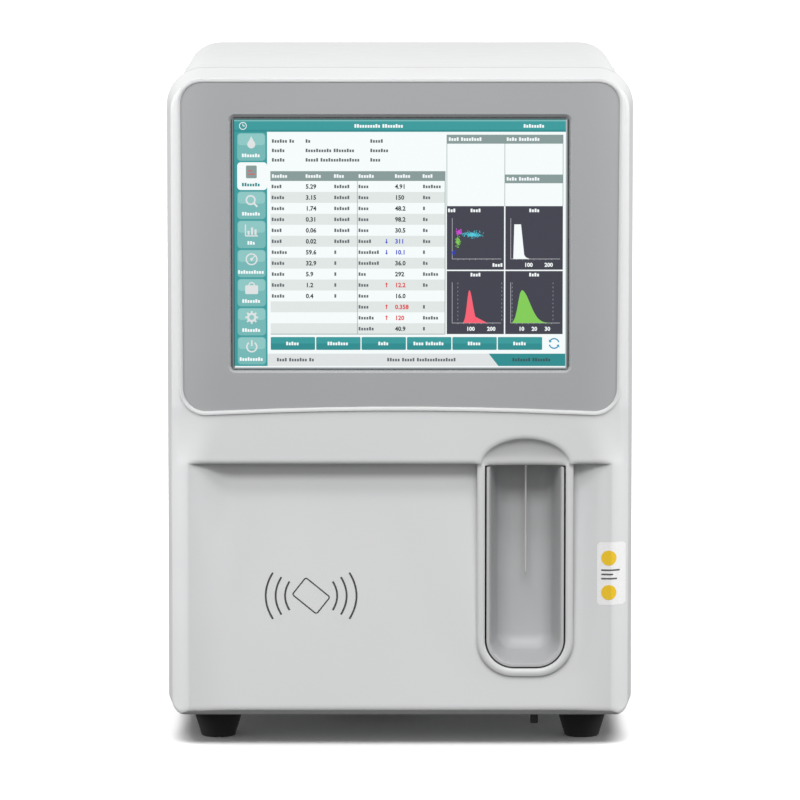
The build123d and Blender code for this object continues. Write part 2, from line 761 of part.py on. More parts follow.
with BuildPart() as syringe_barrels:
    for x, outer, bore in barrels:
        post(x, syringe_y, (syringe_high + 3, syringe_high + 73), outer)
        post(x, syringe_y, (syringe_high + 3, syringe_high + 6), outer + 8)
        post(x, syringe_y, (syringe_high + 73, syringe_high + 83), 4)
        post(x, syringe_y, (syringe_high + 2, syringe_high + 68), bore + 0.1, Mode.SUBTRACT)
        post(x, syringe_y, (syringe_high + 67, syringe_high + 84), 1.5, Mode.SUBTRACT)

with BuildPart() as syringe_crosshead:
    block((55, 135), centred(syringe_y, 18), (crosshead_bottom, crosshead_top))
    fillet(syringe_crosshead.edges().filter_by(Axis.Z), 3)
    post(syringe_x, syringe_y, (crosshead_bottom - 1, crosshead_top + 1),
         screw_diameter + 2 * slide_clearance, Mode.SUBTRACT)
    post(guide_rod_x, syringe_y, (crosshead_bottom - 1, crosshead_top + 1),
         lift_rod + 2 * slide_clearance, Mode.SUBTRACT)

with BuildPart() as syringe_plungers:
    for x, outer, bore in barrels:
        post(x, syringe_y, (crosshead_top, syringe_high + 12), bore - 2)
        post(x, syringe_y, (syringe_high + 12, syringe_high + 20), bore)

with BuildPart() as syringe_motor:
    block(centred(syringe_x, motor_size), centred(syringe_y, motor_size), (syringe_low - 34, syringe_low))
    chamfer(syringe_motor.edges().filter_by(Axis.Z), 3)
    post(syringe_x, syringe_y, (syringe_low - 8, syringe_low + 1), screw_journal + 2 * slide_clearance,
         Mode.SUBTRACT)

with BuildPart() as syringe_screw:
    post(syringe_x, syringe_y, (syringe_low + 3.3, syringe_high - 0.3), screw_diameter)
    post(syringe_x, syringe_y, (syringe_low - 7, syringe_high + 3), screw_journal)

# Solenoid valves on their manifold
manifold_z = 120
valve_count = 8
valve_pitch = 21
with BuildPart() as valve_manifold:
    block((partition_x, partition_x + 18), (-20, 156), centred(manifold_z, 20))
    for i in range(valve_count):
        post(partition_x + 9, -8 + i * valve_pitch, (manifold_z + 9, manifold_z + 18), 4)

with BuildPart() as solenoid_valves:
    for i in range(valve_count):
        y = -8 + i * valve_pitch
        block((partition_x + 18, partition_x + 22), centred(y, 16), centred(manifold_z, 16))
        bar_x((partition_x + 22, partition_x + 44), y, manifold_z, 15)
        block((partition_x + 44, partition_x + 48), centred(y, 6), centred(manifold_z, 10))

# Pumps and vacuum chamber on the base
with BuildPart() as vacuum_pump:
    block((74, 94), (115, 155), (base_top, base_top + 10))
    bar_y(84, (105, 160), base_top + 26, 36)
    block((62, 106), (160, 186), (base_top, base_top + 58))
    fillet(vacuum_pump.edges().filter_by(Axis.Y).group_by(Axis.Z)[-1], 6)
    bar_y(74, (150, 161), base_top + 52, 6)
    bar_y(94, (150, 161), base_top + 52, 6)

with BuildPart() as waste_pump:
    block((117, 120), (30, 90), (base_top, base_top + 70))
    bar_x((120, 146), 60, base_top + 38, 58)
    bar_x((80, 117), 60, base_top + 38, 34)
    block((125, 141), (50, 70), (base_top + 60, base_top + 74))

chamber_x = 105
chamber_y = -60
with BuildPart() as vacuum_chamber:
    post(chamber_x, chamber_y, (base_top, base_top + 96), 60)
    post(chamber_x, chamber_y, (base_top + 96, base_top + 108), 66)
    chamfer(vacuum_chamber.edges().group_by(Axis.Z)[-1], 3)
    post(chamber_x - 14, chamber_y, (base_top + 108, base_top + 120), 6)
    post(chamber_x + 14, chamber_y, (base_top + 108, base_top + 120), 6)

# Power supply in a slotted cover, with its terminal strip
with BuildPart() as power_supply:
    block((-160, -60), (-20, 180), (base_top, base_top + 42))
    with Locations((-110, 90, base_top + 42)):
        with GridLocations(30, 14, 3, 11):
            Box(22, 5, 3, mode=Mode.SUBTRACT)
    block((-150, -70), (-36, -20), (base_top, base_top + 20))

board = 1.6
standoff = 7
board_face = partition_left - standoff
with BuildPart() as main_board:
    block((board_face - board, board_face), (-100, 100), (90, 280))
    for y in (-92, 92):
        for z in (98, 272):
            bar_x((board_face, partition_left), y, z, 6)
    for y, z, dy, dz, height in ((-40, 180, 34, 34, 14), (20, 230, 26, 26, 3), (40, 150, 30, 18, 3),
                                 (-20, 108, 120, 8, 10), (90, 190, 8, 90, 9), (-80, 250, 18, 22, 12)):
        block((board_face - board - height, board_face - board), centred(y, dy), centred(z, dz))

with BuildPart() as drive_board:
    block((board_face - board, board_face), (-140, -20), (320, 440))
    for y in (-132, -28):
        for z in (328, 432):
            bar_x((board_face, partition_left), y, z, 6)
    for i in range(4):
        block((board_face - board - 12, board_face - board), centred(-120 + 26 * i, 18), (400, 420))
    block((board_face - board - 10, board_face - board), centred(-80, 90), (324, 332))

# Optical bench on the shelf: base, laser, flow cell and scatter detector in line
bench_top = shelf_z + sheet + 12
beam_y = 90
beam_z = bench_top + 20
with BuildPart() as optical_base:
    block((-156, -4), (40, 140), (shelf_z + sheet, bench_top))
    fillet(optical_base.edges().filter_by(Axis.Z), 8)

with BuildPart() as laser_module:
    block((-150, -98), centred(beam_y, 34), (bench_top, beam_z + 16))
    bar_x((-98, -88), beam_y, beam_z, 18)

with BuildPart() as flow_cell:
    block((-84, -60), centred(beam_y, 30), (bench_top, bench_top + 8))
    block((-78, -66), centred(beam_y, 14), (bench_top + 8, bench_top + 36))
    bar_x((-79, -65), beam_y, beam_z, 6, Mode.SUBTRACT)
    post(-72, beam_y, (bench_top + 35, bench_top + 44), 4)

with BuildPart() as scatter_detector:
    block((-44, -12), centred(beam_y, 40), (bench_top, beam_z + 18))
    bar_x((-54, -44), beam_y, beam_z, 22)
    bar_x((-55, -50), beam_y, beam_z, 16, Mode.SUBTRACT)

# Cooling fan: frame with struts, seven-blade rotor and ring guard
fan_front = rear_in - fan_depth
fan_hub = 34
fan_tip = 73
fan_shaft = 4
with BuildPart() as fan_frame:
    block(centred(fan_x, fan_size), (fan_front, rear_in), centred(fan_z, fan_size))
    fillet(fan_frame.edges().filter_by(Axis.Y), 4)
    bar_y(fan_x, (fan_front - 1, rear_in + 1), fan_z, fan_bore, Mode.SUBTRACT)
    block(centred(fan_x, fan_bore + 2), (fan_front, fan_front + 3), centred(fan_z, 5))
    block(centred(fan_x, 5), (fan_front, fan_front + 3), centred(fan_z, fan_bore + 2))
    bar_y(fan_x, (fan_front, fan_front + 4), fan_z, fan_hub)
    bar_y(fan_x, (fan_front + 1, fan_front + 5), fan_z, fan_shaft + 2 * slide_clearance, Mode.SUBTRACT)

blade_count = 7
blade_middle_y = fan_front + 14
with BuildPart() as fan_rotor:
    bar_y(fan_x, (fan_front + 5, fan_front + 22), fan_z, fan_hub)
    bar_y(fan_x, (fan_front + 1.3, fan_front + 6), fan_z, fan_shaft)
    for i in range(blade_count):
        turn = 360 * i / blade_count
        sections = []
        for radius, pitch in ((fan_hub / 2 - 2, 48), (fan_tip / 2, 28)):
            plane = Plane(
                origin=(fan_x + radius * cos(radians(turn)), blade_middle_y,
                        fan_z + radius * sin(radians(turn))),
                x_dir=(0, 1, 0), z_dir=(cos(radians(turn)), 0, sin(radians(turn))),
            )
            with BuildSketch(plane) as section:
                Rectangle(17, 1.4, rotation=pitch)
            sections.append(section.sketch)
        loft(sections, ruled=True)

guard_bar = 2
guard_back = rear_y + 1.5
with BuildPart() as fan_guard:
    with BuildSketch(front_plane(guard_back + guard_bar)):
        with Locations((fan_x, fan_z)):
            for radius in (36, 24, 12):
                Circle(radius + guard_bar / 2)
                Circle(radius - guard_bar / 2, mode=Mode.SUBTRACT)
            for angle in (45, 135):
                Rectangle(100, guard_bar, rotation=angle)
    extrude(amount=guard_bar)
    for dx in (-1, 1):
        for dz in (-1, 1):
            bar_y(fan_x + dx * 35.8, (rear_y, guard_back + guard_bar), fan_z + dz * 35.8, 7)

# Power inlet module with its rocker switch
flange = 3
pin_length = 14
switch_x = inlet_body_x + 20
rocker_half = (6.5, 9)
rocker_axis_y = rear_y - 2
rocker_swing = 16
with BuildPart() as power_inlet:
    block(centred(inlet_body_x, inlet_size[0]), (rear_y - 28, rear_y), centred(inlet_z, inlet_size[1]))
    block(centred(inlet_body_x, inlet_size[0] + 18), (rear_y, rear_y + flange),
          centred(inlet_z, inlet_size[1] + 8))
    fillet(power_inlet.edges().filter_by(Axis.Y).group_by(Axis.X)[0], 4)
    fillet(power_inlet.edges().filter_by(Axis.Y).group_by(Axis.X)[-1], 4)
    with BuildSketch(front_plane(rear_y + flange)):
        with BuildLine():
            Polyline(
                (inlet_x - 12, inlet_z - 8.2), (inlet_x + 12, inlet_z - 8.2),
                (inlet_x + 12, inlet_z + 4.2), (inlet_x + 7.5, inlet_z + 8.2),
                (inlet_x - 7.5, inlet_z + 8.2), (inlet_x - 12, inlet_z + 4.2), close=True,
            )
        make_face()
    extrude(amount=17, mode=Mode.SUBTRACT)
    for dx, dz in ((-7, -2), (7, -2), (0, 2)):
        block(centred(inlet_x + dx, 2), (rear_y + flange - 17.5, rear_y + flange - 17.5 + pin_length),
              centred(inlet_z + dz, 4))
    block(centred(switch_x, 2 * rocker_half[0] + 1), (rear_y - 11, rear_y + flange + 1),
          centred(inlet_z, 2 * rocker_half[1] + 3.6), Mode.SUBTRACT)
    bar_x(centred(switch_x, 2 * rocker_half[0] + 4), rocker_axis_y, inlet_z, 3 + 2 * slide_clearance,
          Mode.SUBTRACT)

rocker_reach = 5
with BuildPart() as power_switch:
    with BuildSketch(side_plane(switch_x - rocker_half[0])):
        with BuildLine():
            tilt = radians(rocker_swing)
            half = rocker_half[1]
            low_y = rocker_axis_y + rocker_reach - half * sin(tilt)
            low_z = inlet_z - half * cos(tilt)
            Polyline(
                (rocker_axis_y + rocker_reach, inlet_z + half), (rocker_axis_y + rocker_reach, inlet_z),
                (low_y, low_z), (rocker_axis_y - 4, inlet_z - 6), (rocker_axis_y - 4, inlet_z + 6),
                close=True,
            )
        make_face()
    extrude(amount=2 * rocker_half[0])
    bar_x(centred(switch_x, 2 * rocker_half[0] + 3), rocker_axis_y, inlet_z, 3)

# Data connectors: network jack, two USB sockets and a serial port
jack_size = (12, 11)
with BuildPart() as data_ports:
    block(centred(data_x, data_size[0]), (rear_y - 16, rear_y + 1), centred(data_z, data_size[1]))
    block(centred(data_x - 21, jack_size[0]), (rear_y - 10, rear_y + 2), centred(data_z, jack_size[1]),
          Mode.SUBTRACT)
    for dz in (-4.5, 4.5):
        block(centred(data_x - 4, 13), (rear_y - 10, rear_y + 2), centred(data_z + dz, 5.4), Mode.SUBTRACT)
        block(centred(data_x - 4, 11), (rear_y - 11, rear_y - 1), centred(data_z + dz + 0.9, 1.6))
    with BuildSketch(front_plane(rear_y + 6)):
        with Locations((data_x + 17, data_z)):
            Trapezoid(18, 9, 80, rotation=180)
    extrude(amount=6)

# Four reagent fittings: hexagonal flange, threaded body with nut, barbs at both ends
with BuildPart() as reagent_ports:
    for z in reagent_heights:
        with BuildSketch(front_plane(rear_y + 4)):
            with Locations((reagent_x, z)):
                RegularPolygon(8, 6)
        extrude(amount=4)
        with BuildSketch(front_plane(rear_in)):
            with Locations((reagent_x, z)):
                RegularPolygon(8, 6)
        extrude(amount=4)
        bar_y(reagent_x, (rear_y - 12, rear_y), z, port_thread)
        bar_y(reagent_x, (rear_y + 4, rear_y + fitting_reach), z, 4)
        bar_y(reagent_x, (rear_y - 24, rear_y - 12), z, 4)
        for start in (rear_y + 8, rear_y + 11, rear_y + 14):
            bar_y(reagent_x, (start, start + 1.2), z, 6)
        bar_y(reagent_x, (rear_y - 25, rear_y + fitting_reach + 1), z, 2, Mode.SUBTRACT)

pieces = {
    "front_cover": front_cover, "display_bezel": display_bezel, "touch_glass": touch_glass,
    "lcd_module": lcd_module, "card_reader_board": card_reader_board,
    "aspirate_key": aspirate_key, "key_guide_frame": key_guide_frame, "key_springs": key_springs,
    "key_switch": key_switch, "base_plate": base_plate, "cover_lock_screw": cover_lock_screw,
    "rear_panel": rear_panel, "partition_plate": partition_plate, "upper_shelf": upper_shelf,
    "top_cover": top_cover, "left_panel": left_panel, "side_door": side_door,
    "hinge_pins": hinge_pins, "door_magnets": door_magnets, **feet,
    "lift_frame": lift_frame, "lift_rods": lift_rods, "lift_motor": lift_motor,
    "lift_screw": lift_screw, "probe_carriage": probe_carriage, "sample_probe": sample_probe,
    "probe_rinse_cup": probe_rinse_cup, "valve_motor": valve_motor, "valve_stator": valve_stator,
    "valve_rotor": valve_rotor, "bath_bracket": bath_bracket, "counting_baths": counting_baths,
    "syringe_frame": syringe_frame, "syringe_barrels": syringe_barrels,
    "syringe_crosshead": syringe_crosshead, "syringe_plungers": syringe_plungers,
    "syringe_motor": syringe_motor, "syringe_screw": syringe_screw,
    "valve_manifold": valve_manifold, "solenoid_valves": solenoid_valves,
    "vacuum_pump": vacuum_pump, "waste_pump": waste_pump, "vacuum_chamber": vacuum_chamber,
    "power_supply": power_supply, "main_board": main_board, "drive_board": drive_board,
    "optical_base": optical_base, "laser_module": laser_module, "flow_cell": flow_cell,
    "scatter_detector": scatter_detector, "fan_frame": fan_frame, "fan_rotor": fan_rotor,
    "fan_guard": fan_guard, "power_inlet": power_inlet, "power_switch": power_switch,
    "data_ports": data_ports, "reagent_ports": reagent_ports,
}
for name, piece in pieces.items():
    piece.part.label = name
    export_step(piece.part, f"parts/{name}.step")
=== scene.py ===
# Looks of the bench hematology analyzer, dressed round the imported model. Metres, front towards -Y, Z up.
import json
import math
import random

import bpy
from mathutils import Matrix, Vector


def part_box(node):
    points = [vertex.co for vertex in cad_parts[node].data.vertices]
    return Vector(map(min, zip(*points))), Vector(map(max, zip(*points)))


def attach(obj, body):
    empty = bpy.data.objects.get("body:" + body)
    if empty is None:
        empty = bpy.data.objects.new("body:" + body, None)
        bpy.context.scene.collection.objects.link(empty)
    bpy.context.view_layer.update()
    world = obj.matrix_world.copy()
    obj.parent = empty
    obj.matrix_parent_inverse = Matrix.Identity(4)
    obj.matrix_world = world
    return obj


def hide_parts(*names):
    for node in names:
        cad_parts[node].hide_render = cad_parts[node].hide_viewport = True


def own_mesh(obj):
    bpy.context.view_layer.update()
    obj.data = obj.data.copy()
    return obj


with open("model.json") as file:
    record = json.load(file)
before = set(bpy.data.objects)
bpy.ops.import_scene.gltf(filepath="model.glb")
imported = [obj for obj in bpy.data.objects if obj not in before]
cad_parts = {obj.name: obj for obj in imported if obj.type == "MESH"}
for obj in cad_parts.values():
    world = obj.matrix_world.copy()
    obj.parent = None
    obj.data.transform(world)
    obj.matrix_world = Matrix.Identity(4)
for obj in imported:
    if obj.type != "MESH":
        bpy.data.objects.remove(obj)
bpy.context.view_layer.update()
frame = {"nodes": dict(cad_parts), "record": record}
nodes = frame["nodes"]
scene = bpy.context.scene

MM = 0.001
DECAL = 0.12 * MM

# Places read from the frame
cover_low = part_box("front_cover")[0]
rear_low, rear_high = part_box("rear_panel")
glass_low, glass_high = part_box("touch_glass")
shell_low, shell_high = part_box("top_cover")
LIP_PROUD = 1 * MM
front_y = cover_low.y + LIP_PROUD
rear_y = rear_high.y

# Camera of the photograph
CAMERA_DISTANCE = 4.621
CAMERA_HEIGHT = 0.7679
CAMERA_TILT = math.radians(6.272)
CAMERA_LENS = 280.8

# Light
SKY_LIGHT = 0.8
ZENITH_LIGHT = 0.15
HORIZON_LIGHT = 0.55
GROUND_LIGHT = 0.12
HIGH_POWER = 30
FRONT_POWER = 37
STRIP_POWER = 15
REAR_POWER = 18
FLOOR_WASH = 5.5
WASH_SPREAD = math.radians(70)
FLOOR_REACH = 60.0
FLOOR_NEAR = -12.0

# Screen, from the display's top left corner, in millimetres
SCREEN_WIDTH = 246
SCREEN_HEIGHT = 184.5
SCREEN_LAYER = 0.04 * MM
HEADER_HEIGHT = 9
HEADER_MIDDLE = 4.6
TAB_COLUMN = 24.4
TAB_TOP = 9.9
TAB_PITCH = 21.7
TAB_SIZE = (21, 20.6)
TAB_LEFT = 2.2
ACTIVE_TAB = 1
TABLE_LEFT = 26.8
TABLE_RIGHT = 156.5
TABLE_TOP = 38.2
TABLE_HEADER = 7.3
TABLE_ROWS = 14
ROW_PITCH = 8.16
TABLE_MIDDLE = 91.3
LEFT_COLUMNS = (27.7, 53, 74.2)
RIGHT_COLUMNS = (92.2, 119.3, 140.1)
FLAG_COLUMN = 113
RIGHT_LEFT = 157.8
RIGHT_MIDDLE = 200.8
RIGHT_END = 244
MESSAGE_TOP = 11.1
MESSAGE_COLUMNS = (159.2, 202.2)
PLOT_TOP = 64.2
PLOT_MIDDLE = 112.1
PLOT_END = 159.7
BUTTON_TOP = 161.9
BUTTON_HEIGHT = 9.6
BUTTON_PITCH = 33.8
BUTTON_COUNT = 6
STATUS_TOP = 174.3
STATUS_END = 183.6
STATUS_MIDDLE = 178.8
TEXT_HEIGHT = 3.2
TEXT_WEIGHT = 0.15 * MM
TEXT_LAYER = 5
CAPITAL_SHARE = 0.7
LETTER = 1.4
LETTER_GAP = 0.55
LOW_LETTER = 0.76
WORD_GAP = 1.3

# Colours as seen on the display, with the painted shade and light of the rim round it
TEAL = (52, 154, 156)
TEAL_DARK = (38, 140, 143)
TEAL_LIGHT = (120, 196, 196)
TAB_FACE = (116, 184, 182)
TAB_SHINE = (142, 200, 197)
PAPER = (247, 253, 253)
ROW_TINT = (225, 232, 230)
TABLE_GREEN = (135, 155, 152)
INK = (42, 48, 52)
INK_SOFT = (98, 104, 108)
RED = (226, 50, 60)
BLUE = (44, 62, 205)
PLOT_DARK = (60, 61, 74)
PLOT_LINE = (200, 204, 208)
PINK = (250, 95, 115)
LEAF = (130, 205, 85)
MAGENTA = (214, 70, 220)
CYAN = (70, 205, 225)
STATUS_GREY = (224, 228, 228)
REFRESH = (58, 150, 190)
# Painted shade and light of the window's bevel round the picture, glowing like the picture; the deepest
# shade is also the status bar's ink
RIM_PAINTED_SHADE = (118, 125, 127)
RIM_DEEP_SHADE_AND_INK = (50, 82, 86)
RIM_PAINTED_LIGHT = (186, 192, 194)
SCREEN_GAIN = 1.0


def linear(level):
    """Linear light of an 8-bit display level."""
    share = level / 255
    return share / 12.92 if share <= 0.04045 else ((share + 0.055) / 1.055) ** 2.4


def grey(level):
    return (linear(level),) * 3


# Material building
class Shader:
    """Node tree of one material with a few short-cuts for wiring."""

    def __init__(self, name):
        self.material = bpy.data.materials.new(name)
        self.material.use_nodes = True
        self.tree = self.material.node_tree
        self.tree.nodes.clear()
        self.output = self.tree.nodes.new("ShaderNodeOutputMaterial")
        self.bsdf = self.tree.nodes.new("ShaderNodeBsdfPrincipled")
        self.link(self.bsdf.outputs["BSDF"], self.output.inputs["Surface"])
        self.place = self.tree.nodes.new("ShaderNodeTexCoord")

    def link(self, source, target):
        self.tree.links.new(source, target)

    def mapping(self, scale):
        node = self.tree.nodes.new("ShaderNodeMapping")
        node.inputs["Scale"].default_value = scale
        self.link(self.place.outputs["Object"], node.inputs["Vector"])
        return node.outputs["Vector"]

    def noise(self, scale, detail=3.0, stretch=(1, 1, 1)):
        node = self.tree.nodes.new("ShaderNodeTexNoise")
        node.inputs["Scale"].default_value = scale
        node.inputs["Detail"].default_value = detail
        self.link(self.mapping(stretch), node.inputs["Vector"])
        return node.outputs["Fac"]

    def cells(self, scale):
        node = self.tree.nodes.new("ShaderNodeTexVoronoi")
        node.inputs["Scale"].default_value = scale
        self.link(self.mapping((1, 1, 1)), node.inputs["Vector"])
        return node.outputs["Distance"]

    def stretch_range(self, value, low, high, source=(0.3, 0.7)):
        node = self.tree.nodes.new("ShaderNodeMapRange")
        node.inputs["From Min"].default_value = source[0]
        node.inputs["From Max"].default_value = source[1]
        node.inputs["To Min"].default_value = low
        node.inputs["To Max"].default_value = high
        self.link(value, node.inputs["Value"])
        return node.outputs["Result"]

    def blend(self, value, dark, light, source=(0.3, 0.7)):
        node = self.tree.nodes.new("ShaderNodeValToRGB")
        node.color_ramp.elements[0].position = source[0]
        node.color_ramp.elements[1].position = source[1]
        node.color_ramp.elements[0].color = (*dark, 1)
        node.color_ramp.elements[1].color = (*light, 1)
        self.link(value, node.inputs["Fac"])
        return node.outputs["Color"]

    def bump(self, height, strength, distance, edge=0.0):
        node = self.tree.nodes.new("ShaderNodeBump")
        node.inputs["Strength"].default_value = strength
        node.inputs["Distance"].default_value = distance
        self.link(height, node.inputs["Height"])
        if edge:
            soft = self.tree.nodes.new("ShaderNodeBevel")
            soft.samples = 4 if edge < MM else 8
            soft.inputs["Radius"].default_value = edge
            self.link(soft.outputs["Normal"], node.inputs["Normal"])
        self.link(node.outputs["Normal"], self.bsdf.inputs["Normal"])

    def set(self, **values):
        for name, value in values.items():
            self.bsdf.inputs[name.replace("_", " ").title().replace("Ior", "IOR")].default_value = value


def shade(colour, share):
    return tuple(c * share for c in colour)


def moulded(name, colour, roughness, grain=2600, depth=0.02, edge=0.0004, coat=0.0, variation=0.03):
    """Moulded plastic: fine spark texture, soft edges and slight mottling of tone and gloss."""
    s = Shader(name)
    s.link(s.blend(s.noise(7, 2), shade(colour, 1 - variation), colour), s.bsdf.inputs["Base Color"])
    s.link(s.stretch_range(s.noise(24, 4), roughness - 0.04, roughness + 0.05), s.bsdf.inputs["Roughness"])
    s.bump(s.noise(grain, 2), 0.25, depth * MM, edge)
    s.set(coat_weight=coat, coat_roughness=0.12)
    return s.material


def coated(name, colour, roughness, peel=900, edge=0.0004, variation=0.025):
    """Powder coat or lacquer on metal, with orange peel."""
    s = Shader(name)
    s.link(s.blend(s.noise(11, 3), shade(colour, 1 - variation), colour), s.bsdf.inputs["Base Color"])
    s.link(s.stretch_range(s.noise(60, 3), roughness - 0.05, roughness + 0.06), s.bsdf.inputs["Roughness"])
    s.bump(s.noise(peel, 3), 0.3, 0.04 * MM, edge)
    return s.material


def metal(name, colour, roughness, lines=(1, 1, 1), scale=300, edge=0.0002, worn=0.12):
    """Bare metal; lines stretches the grain so that it reads as brushed, drawn or machined."""
    s = Shader(name)
    grain = s.noise(scale, 4, lines)
    s.link(s.blend(grain, shade(colour, 1 - worn), colour), s.bsdf.inputs["Base Color"])
    s.link(s.stretch_range(grain, roughness - 0.06, roughness + 0.08), s.bsdf.inputs["Roughness"])
    s.bump(grain, 0.12, 0.01 * MM, edge)
    s.set(metallic=1.0)
    return s.material


def clear(name, colour, roughness):
    """Clear moulded plastic with faint flow lines."""
    s = Shader(name)
    s.link(s.blend(s.noise(40, 2), shade(colour, 0.95), colour), s.bsdf.inputs["Base Color"])
    s.link(s.stretch_range(s.noise(90, 3), roughness, roughness + 0.06), s.bsdf.inputs["Roughness"])
    s.bump(s.noise(120, 2), 0.08, 0.03 * MM)
    s.set(transmission_weight=0.82, ior=1.49)
    return s.material


def board(name):
    """Coated circuit board: tracks and pads on green, with dark parts standing off its face."""
    s = Shader(name)
    tracks = s.tree.nodes.new("ShaderNodeTexBrick")
    tracks.inputs["Scale"].default_value = 90
    tracks.inputs["Mortar Size"].default_value = 0.045
    tracks.inputs["Color1"].default_value = (0.012, 0.12, 0.06, 1)
    tracks.inputs["Color2"].default_value = (0.015, 0.15, 0.07, 1)
    tracks.inputs["Mortar"].default_value = (0.05, 0.30, 0.14, 1)
    turn = s.tree.nodes.new("ShaderNodeMapping")
    turn.inputs["Rotation"].default_value = (0, math.radians(90), 0)
    s.link(s.place.outputs["Object"], turn.inputs["Vector"])
    s.link(turn.outputs["Vector"], tracks.inputs["Vector"])
    parts = s.blend(s.cells(160), (0.03, 0.03, 0.035), (0.09, 0.09, 0.1), (0.2, 0.6))
    split = s.tree.nodes.new("ShaderNodeSeparateXYZ")
    s.link(s.place.outputs["Object"], split.inputs["Vector"])
    low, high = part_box("main_board")
    stand_off = 8.8 * MM
    face = s.stretch_range(split.outputs["X"], 1, 0, (high.x - stand_off - MM, high.x - stand_off))
    mix = s.tree.nodes.new("ShaderNodeMix")
    mix.data_type = "RGBA"
    s.link(face, mix.inputs["Factor"])
    s.link(tracks.outputs["Color"], mix.inputs["A"])
    s.link(parts, mix.inputs["B"])
    s.link(mix.outputs["Result"], s.bsdf.inputs["Base Color"])
    s.link(s.stretch_range(s.noise(200), 0.3, 0.45), s.bsdf.inputs["Roughness"])
    s.bump(tracks.outputs["Fac"], 0.3, 0.05 * MM)
    return s.material


def lit(name, colour):
    """Glowing colour of the display, also used for the painted shade and light of its rim: it glows
    through a faint raster of pixel lines.
    """
    s = Shader(name)
    glow = tuple(linear(c) for c in colour)
    s.link(s.blend(s.noise(4000, 1), shade(glow, 0.94), glow), s.bsdf.inputs["Emission Color"])
    s.link(s.stretch_range(s.noise(30), 0.12, 0.2), s.bsdf.inputs["Roughness"])
    s.set(base_color=(0.004, 0.004, 0.004, 1), emission_strength=SCREEN_GAIN)
    return s.material


def printed(name, colour, roughness=0.45):
    """Printed or pasted-on film with slightly uneven ink."""
    s = Shader(name)
    s.link(s.blend(s.noise(900, 3), shade(colour, 0.93), colour), s.bsdf.inputs["Base Color"])
    s.link(s.stretch_range(s.noise(200), roughness - 0.05, roughness + 0.05), s.bsdf.inputs["Roughness"])
    s.bump(s.noise(1500, 2), 0.1, 0.01 * MM)
    return s.material


def panel_glass(name):
    """Dark glossy touch panel round the lit area."""
    s = Shader(name)
    tone = s.blend(s.noise(12, 2), (0.012, 0.014, 0.016), (0.02, 0.022, 0.025))
    s.link(tone, s.bsdf.inputs["Base Color"])
    s.link(s.stretch_range(s.noise(45, 3), 0.04, 0.1), s.bsdf.inputs["Roughness"])
    s.bump(s.noise(25, 2), 0.03, 0.02 * MM, 0.0003)
    s.set(coat_weight=0.5, coat_roughness=0.03)
    return s.material


WHITE = (0.69, 0.695, 0.70)
finishes = {
    "white_shell": moulded("white_shell", WHITE, 0.34, coat=0.15),
    "front_white": moulded("front_white", WHITE, 0.34, coat=0.15, edge=0.006),
    "grey_bezel": moulded("grey_bezel", (0.372, 0.38, 0.389), 0.5, grain=1800, depth=0.035),
    "screen_glass": panel_glass("screen_glass"),
    "key_plastic": moulded("key_plastic", (0.49, 0.495, 0.5), 0.52),
    "needle_steel": metal("needle_steel", (0.95, 0.95, 0.94), 0.5, (1, 1, 0.05), 900, worn=0.05),
    "white_sheet": coated("white_sheet", WHITE, 0.42),
    "plated_steel": metal("plated_steel", (0.62, 0.63, 0.64), 0.34, (1, 1, 1), 160),
    "machined_metal": metal("machined_metal", (0.72, 0.73, 0.74), 0.32, (0.06, 1, 1), 600),
    "motor_black": coated("motor_black", (0.022, 0.022, 0.024), 0.36),
    "foot_rubber": moulded("foot_rubber", (0.007, 0.007, 0.008), 0.72, grain=1200, depth=0.06),
    "black_plastic": moulded("black_plastic", (0.018, 0.018, 0.02), 0.45),
    "clear_plastic": clear("clear_plastic", (0.86, 0.9, 0.9), 0.06),
    "white_ceramic": moulded("white_ceramic", (0.82, 0.8, 0.76), 0.2, grain=3000, depth=0.008),
    "valve_plastic": moulded("valve_plastic", (0.66, 0.66, 0.63), 0.4),
    "board_green": board("board_green"),
    "lcd_metal": metal("lcd_metal", (0.55, 0.56, 0.57), 0.38, (1, 0.08, 1), 420),
    "spring_steel": metal("spring_steel", (0.5, 0.5, 0.52), 0.28, (1, 0.1, 1), 700),
    "magnet_nickel": metal("magnet_nickel", (0.66, 0.64, 0.6), 0.18),
}
for subpart in frame["record"]["subparts"]:
    shown = nodes[subpart["node"]].data
    finish = "front_white" if subpart["node"] == "front_cover" else subpart["material_slot"]
    shown.materials.clear()
    shown.materials.append(finishes[finish])


def mesh_piece(name, vertices, faces, material, body="housing", smooth=False):
    """Makes a mesh object that rides on a body."""
    mesh = bpy.data.meshes.new(name)
    mesh.from_pydata(vertices, [], faces)
    mesh.materials.append(material)
    if smooth:
        mesh.polygons.foreach_set("use_smooth", [True] * len(mesh.polygons))
    mesh.update()
    piece = bpy.data.objects.new(name, mesh)
    scene.collection.objects.link(piece)
    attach(piece, body)
    return piece


# Display picture, gathered as flat areas of one colour each
screen_left = (glass_low.x + glass_high.x - SCREEN_WIDTH * MM) / 2
screen_top = (glass_low.z + glass_high.z + SCREEN_HEIGHT * MM) / 2
areas = {}
colour_names = {
    TEAL: "teal", TEAL_DARK: "teal_dark", TEAL_LIGHT: "teal_light", PAPER: "paper", ROW_TINT: "row_tint",
    TAB_FACE: "tab_face", TAB_SHINE: "tab_shine", REFRESH: "refresh",
    RIM_PAINTED_SHADE: "rim_painted_shade", RIM_DEEP_SHADE_AND_INK: "rim_deep_shade_and_ink", RIM_PAINTED_LIGHT: "rim_painted_light",
    TABLE_GREEN: "table_green", INK: "ink", INK_SOFT: "ink_soft", RED: "red", BLUE: "blue",
    PLOT_DARK: "plot_dark", PLOT_LINE: "plot_line",
    PINK: "pink", LEAF: "leaf", MAGENTA: "magenta", CYAN: "cyan",
    STATUS_GREY: "status_grey",
}


